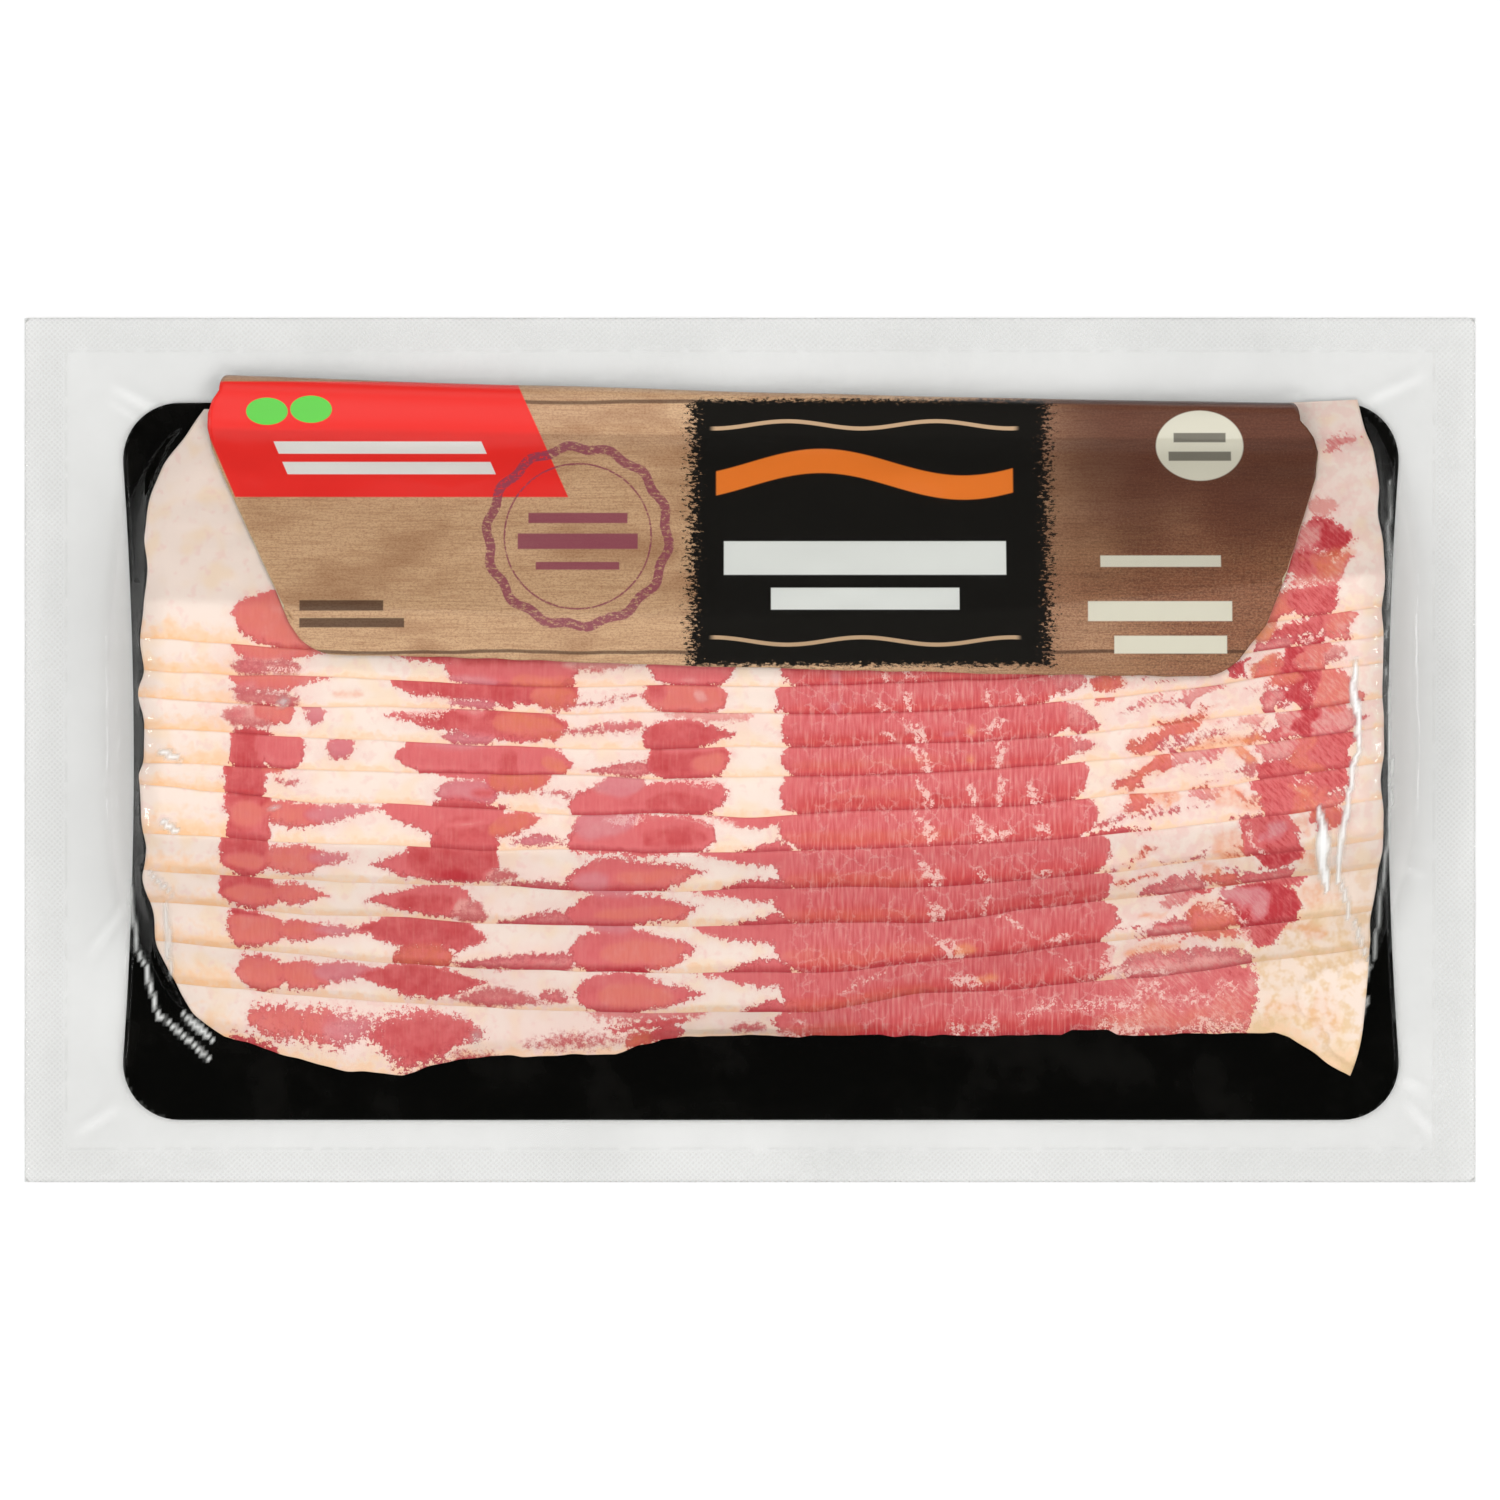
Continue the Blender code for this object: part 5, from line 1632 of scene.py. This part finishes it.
@dataclass
class Studio:
    """Floor, lights, surroundings and camera."""

    view_width: float = 0.2896
    camera_height: float = 2.0
    sensor: float = 36.0
    floor_size: float = 3.0
    sky: float = 0.05
    boxes: tuple[Softbox, ...] = (
        Softbox("left_box", 180.0, 60.0, 5.95),
        Softbox("right_box", 0.0, 60.0, 5.95),
        Softbox("head_box", 90.0, 60.0, 4.9),
        Softbox("foot_box", 270.0, 60.0, 6.9),
        Softbox("left_glint", 180.0, 24.0, 1.3, 0.14, 1.3, True),
        Softbox("right_glint", 0.0, 24.0, 1.3, 0.14, 1.3, True),
    )

    def floor(self) -> bpy.types.Object:
        """A plain pale floor just under the pack."""
        half = self.floor_size / 2 / MM
        x, y = np.meshgrid([-half, half], [-half, half], indexing="ij")
        top = np.full_like(x, -0.2)
        piece = shell("floor", np.stack([x, y, top], -1), np.stack([x, y, top - 5], -1))
        nodes = Nodes("floor_white")
        values = {"Base Color": (0.975, 0.975, 0.975, 1.0), "Roughness": 0.9, "Specular IOR Level": 0.0}
        piece.data.materials.append(nodes.finish(nodes.principled(values)))
        return piece

    def camera(self) -> bpy.types.Object:
        """A long lens that looks straight down on the pack's middle."""
        data = bpy.data.cameras.new("camera")
        data.sensor_width = self.sensor
        data.lens = self.sensor * self.camera_height / self.view_width
        data.clip_end = 10.0
        camera = bpy.data.objects.new("camera", data)
        camera.location = (0.0, 0.0, self.camera_height)
        bpy.context.scene.collection.objects.link(camera)
        bpy.context.scene.camera = camera
        return camera

    def build(self) -> None:
        """Builds the studio."""
        self.floor()
        for box in self.boxes:
            box.build()
        world = bpy.data.worlds.new("studio")
        world.use_nodes = True
        world.node_tree.nodes["Background"].inputs["Color"].default_value = (1.0, 1.0, 1.0, 1.0)
        world.node_tree.nodes["Background"].inputs["Strength"].default_value = self.sky
        bpy.context.scene.world = world
        self.camera()
        bpy.context.scene.view_settings.view_transform = "Standard"


def main() -> None:
    """Loads the frame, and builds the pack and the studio."""
    logging.basicConfig(level=logging.INFO, format="%(message)s")
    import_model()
    sheet = RowSheet()
    card = Card(sheet)
    for assembly in (card, Slices(sheet), Film(sheet, card)):
        for piece in assembly.build():
            log.info("%s: %d faces", piece.name, len(piece.data.polygons))
    Studio().build()


if __name__ == "__main__":
    main()
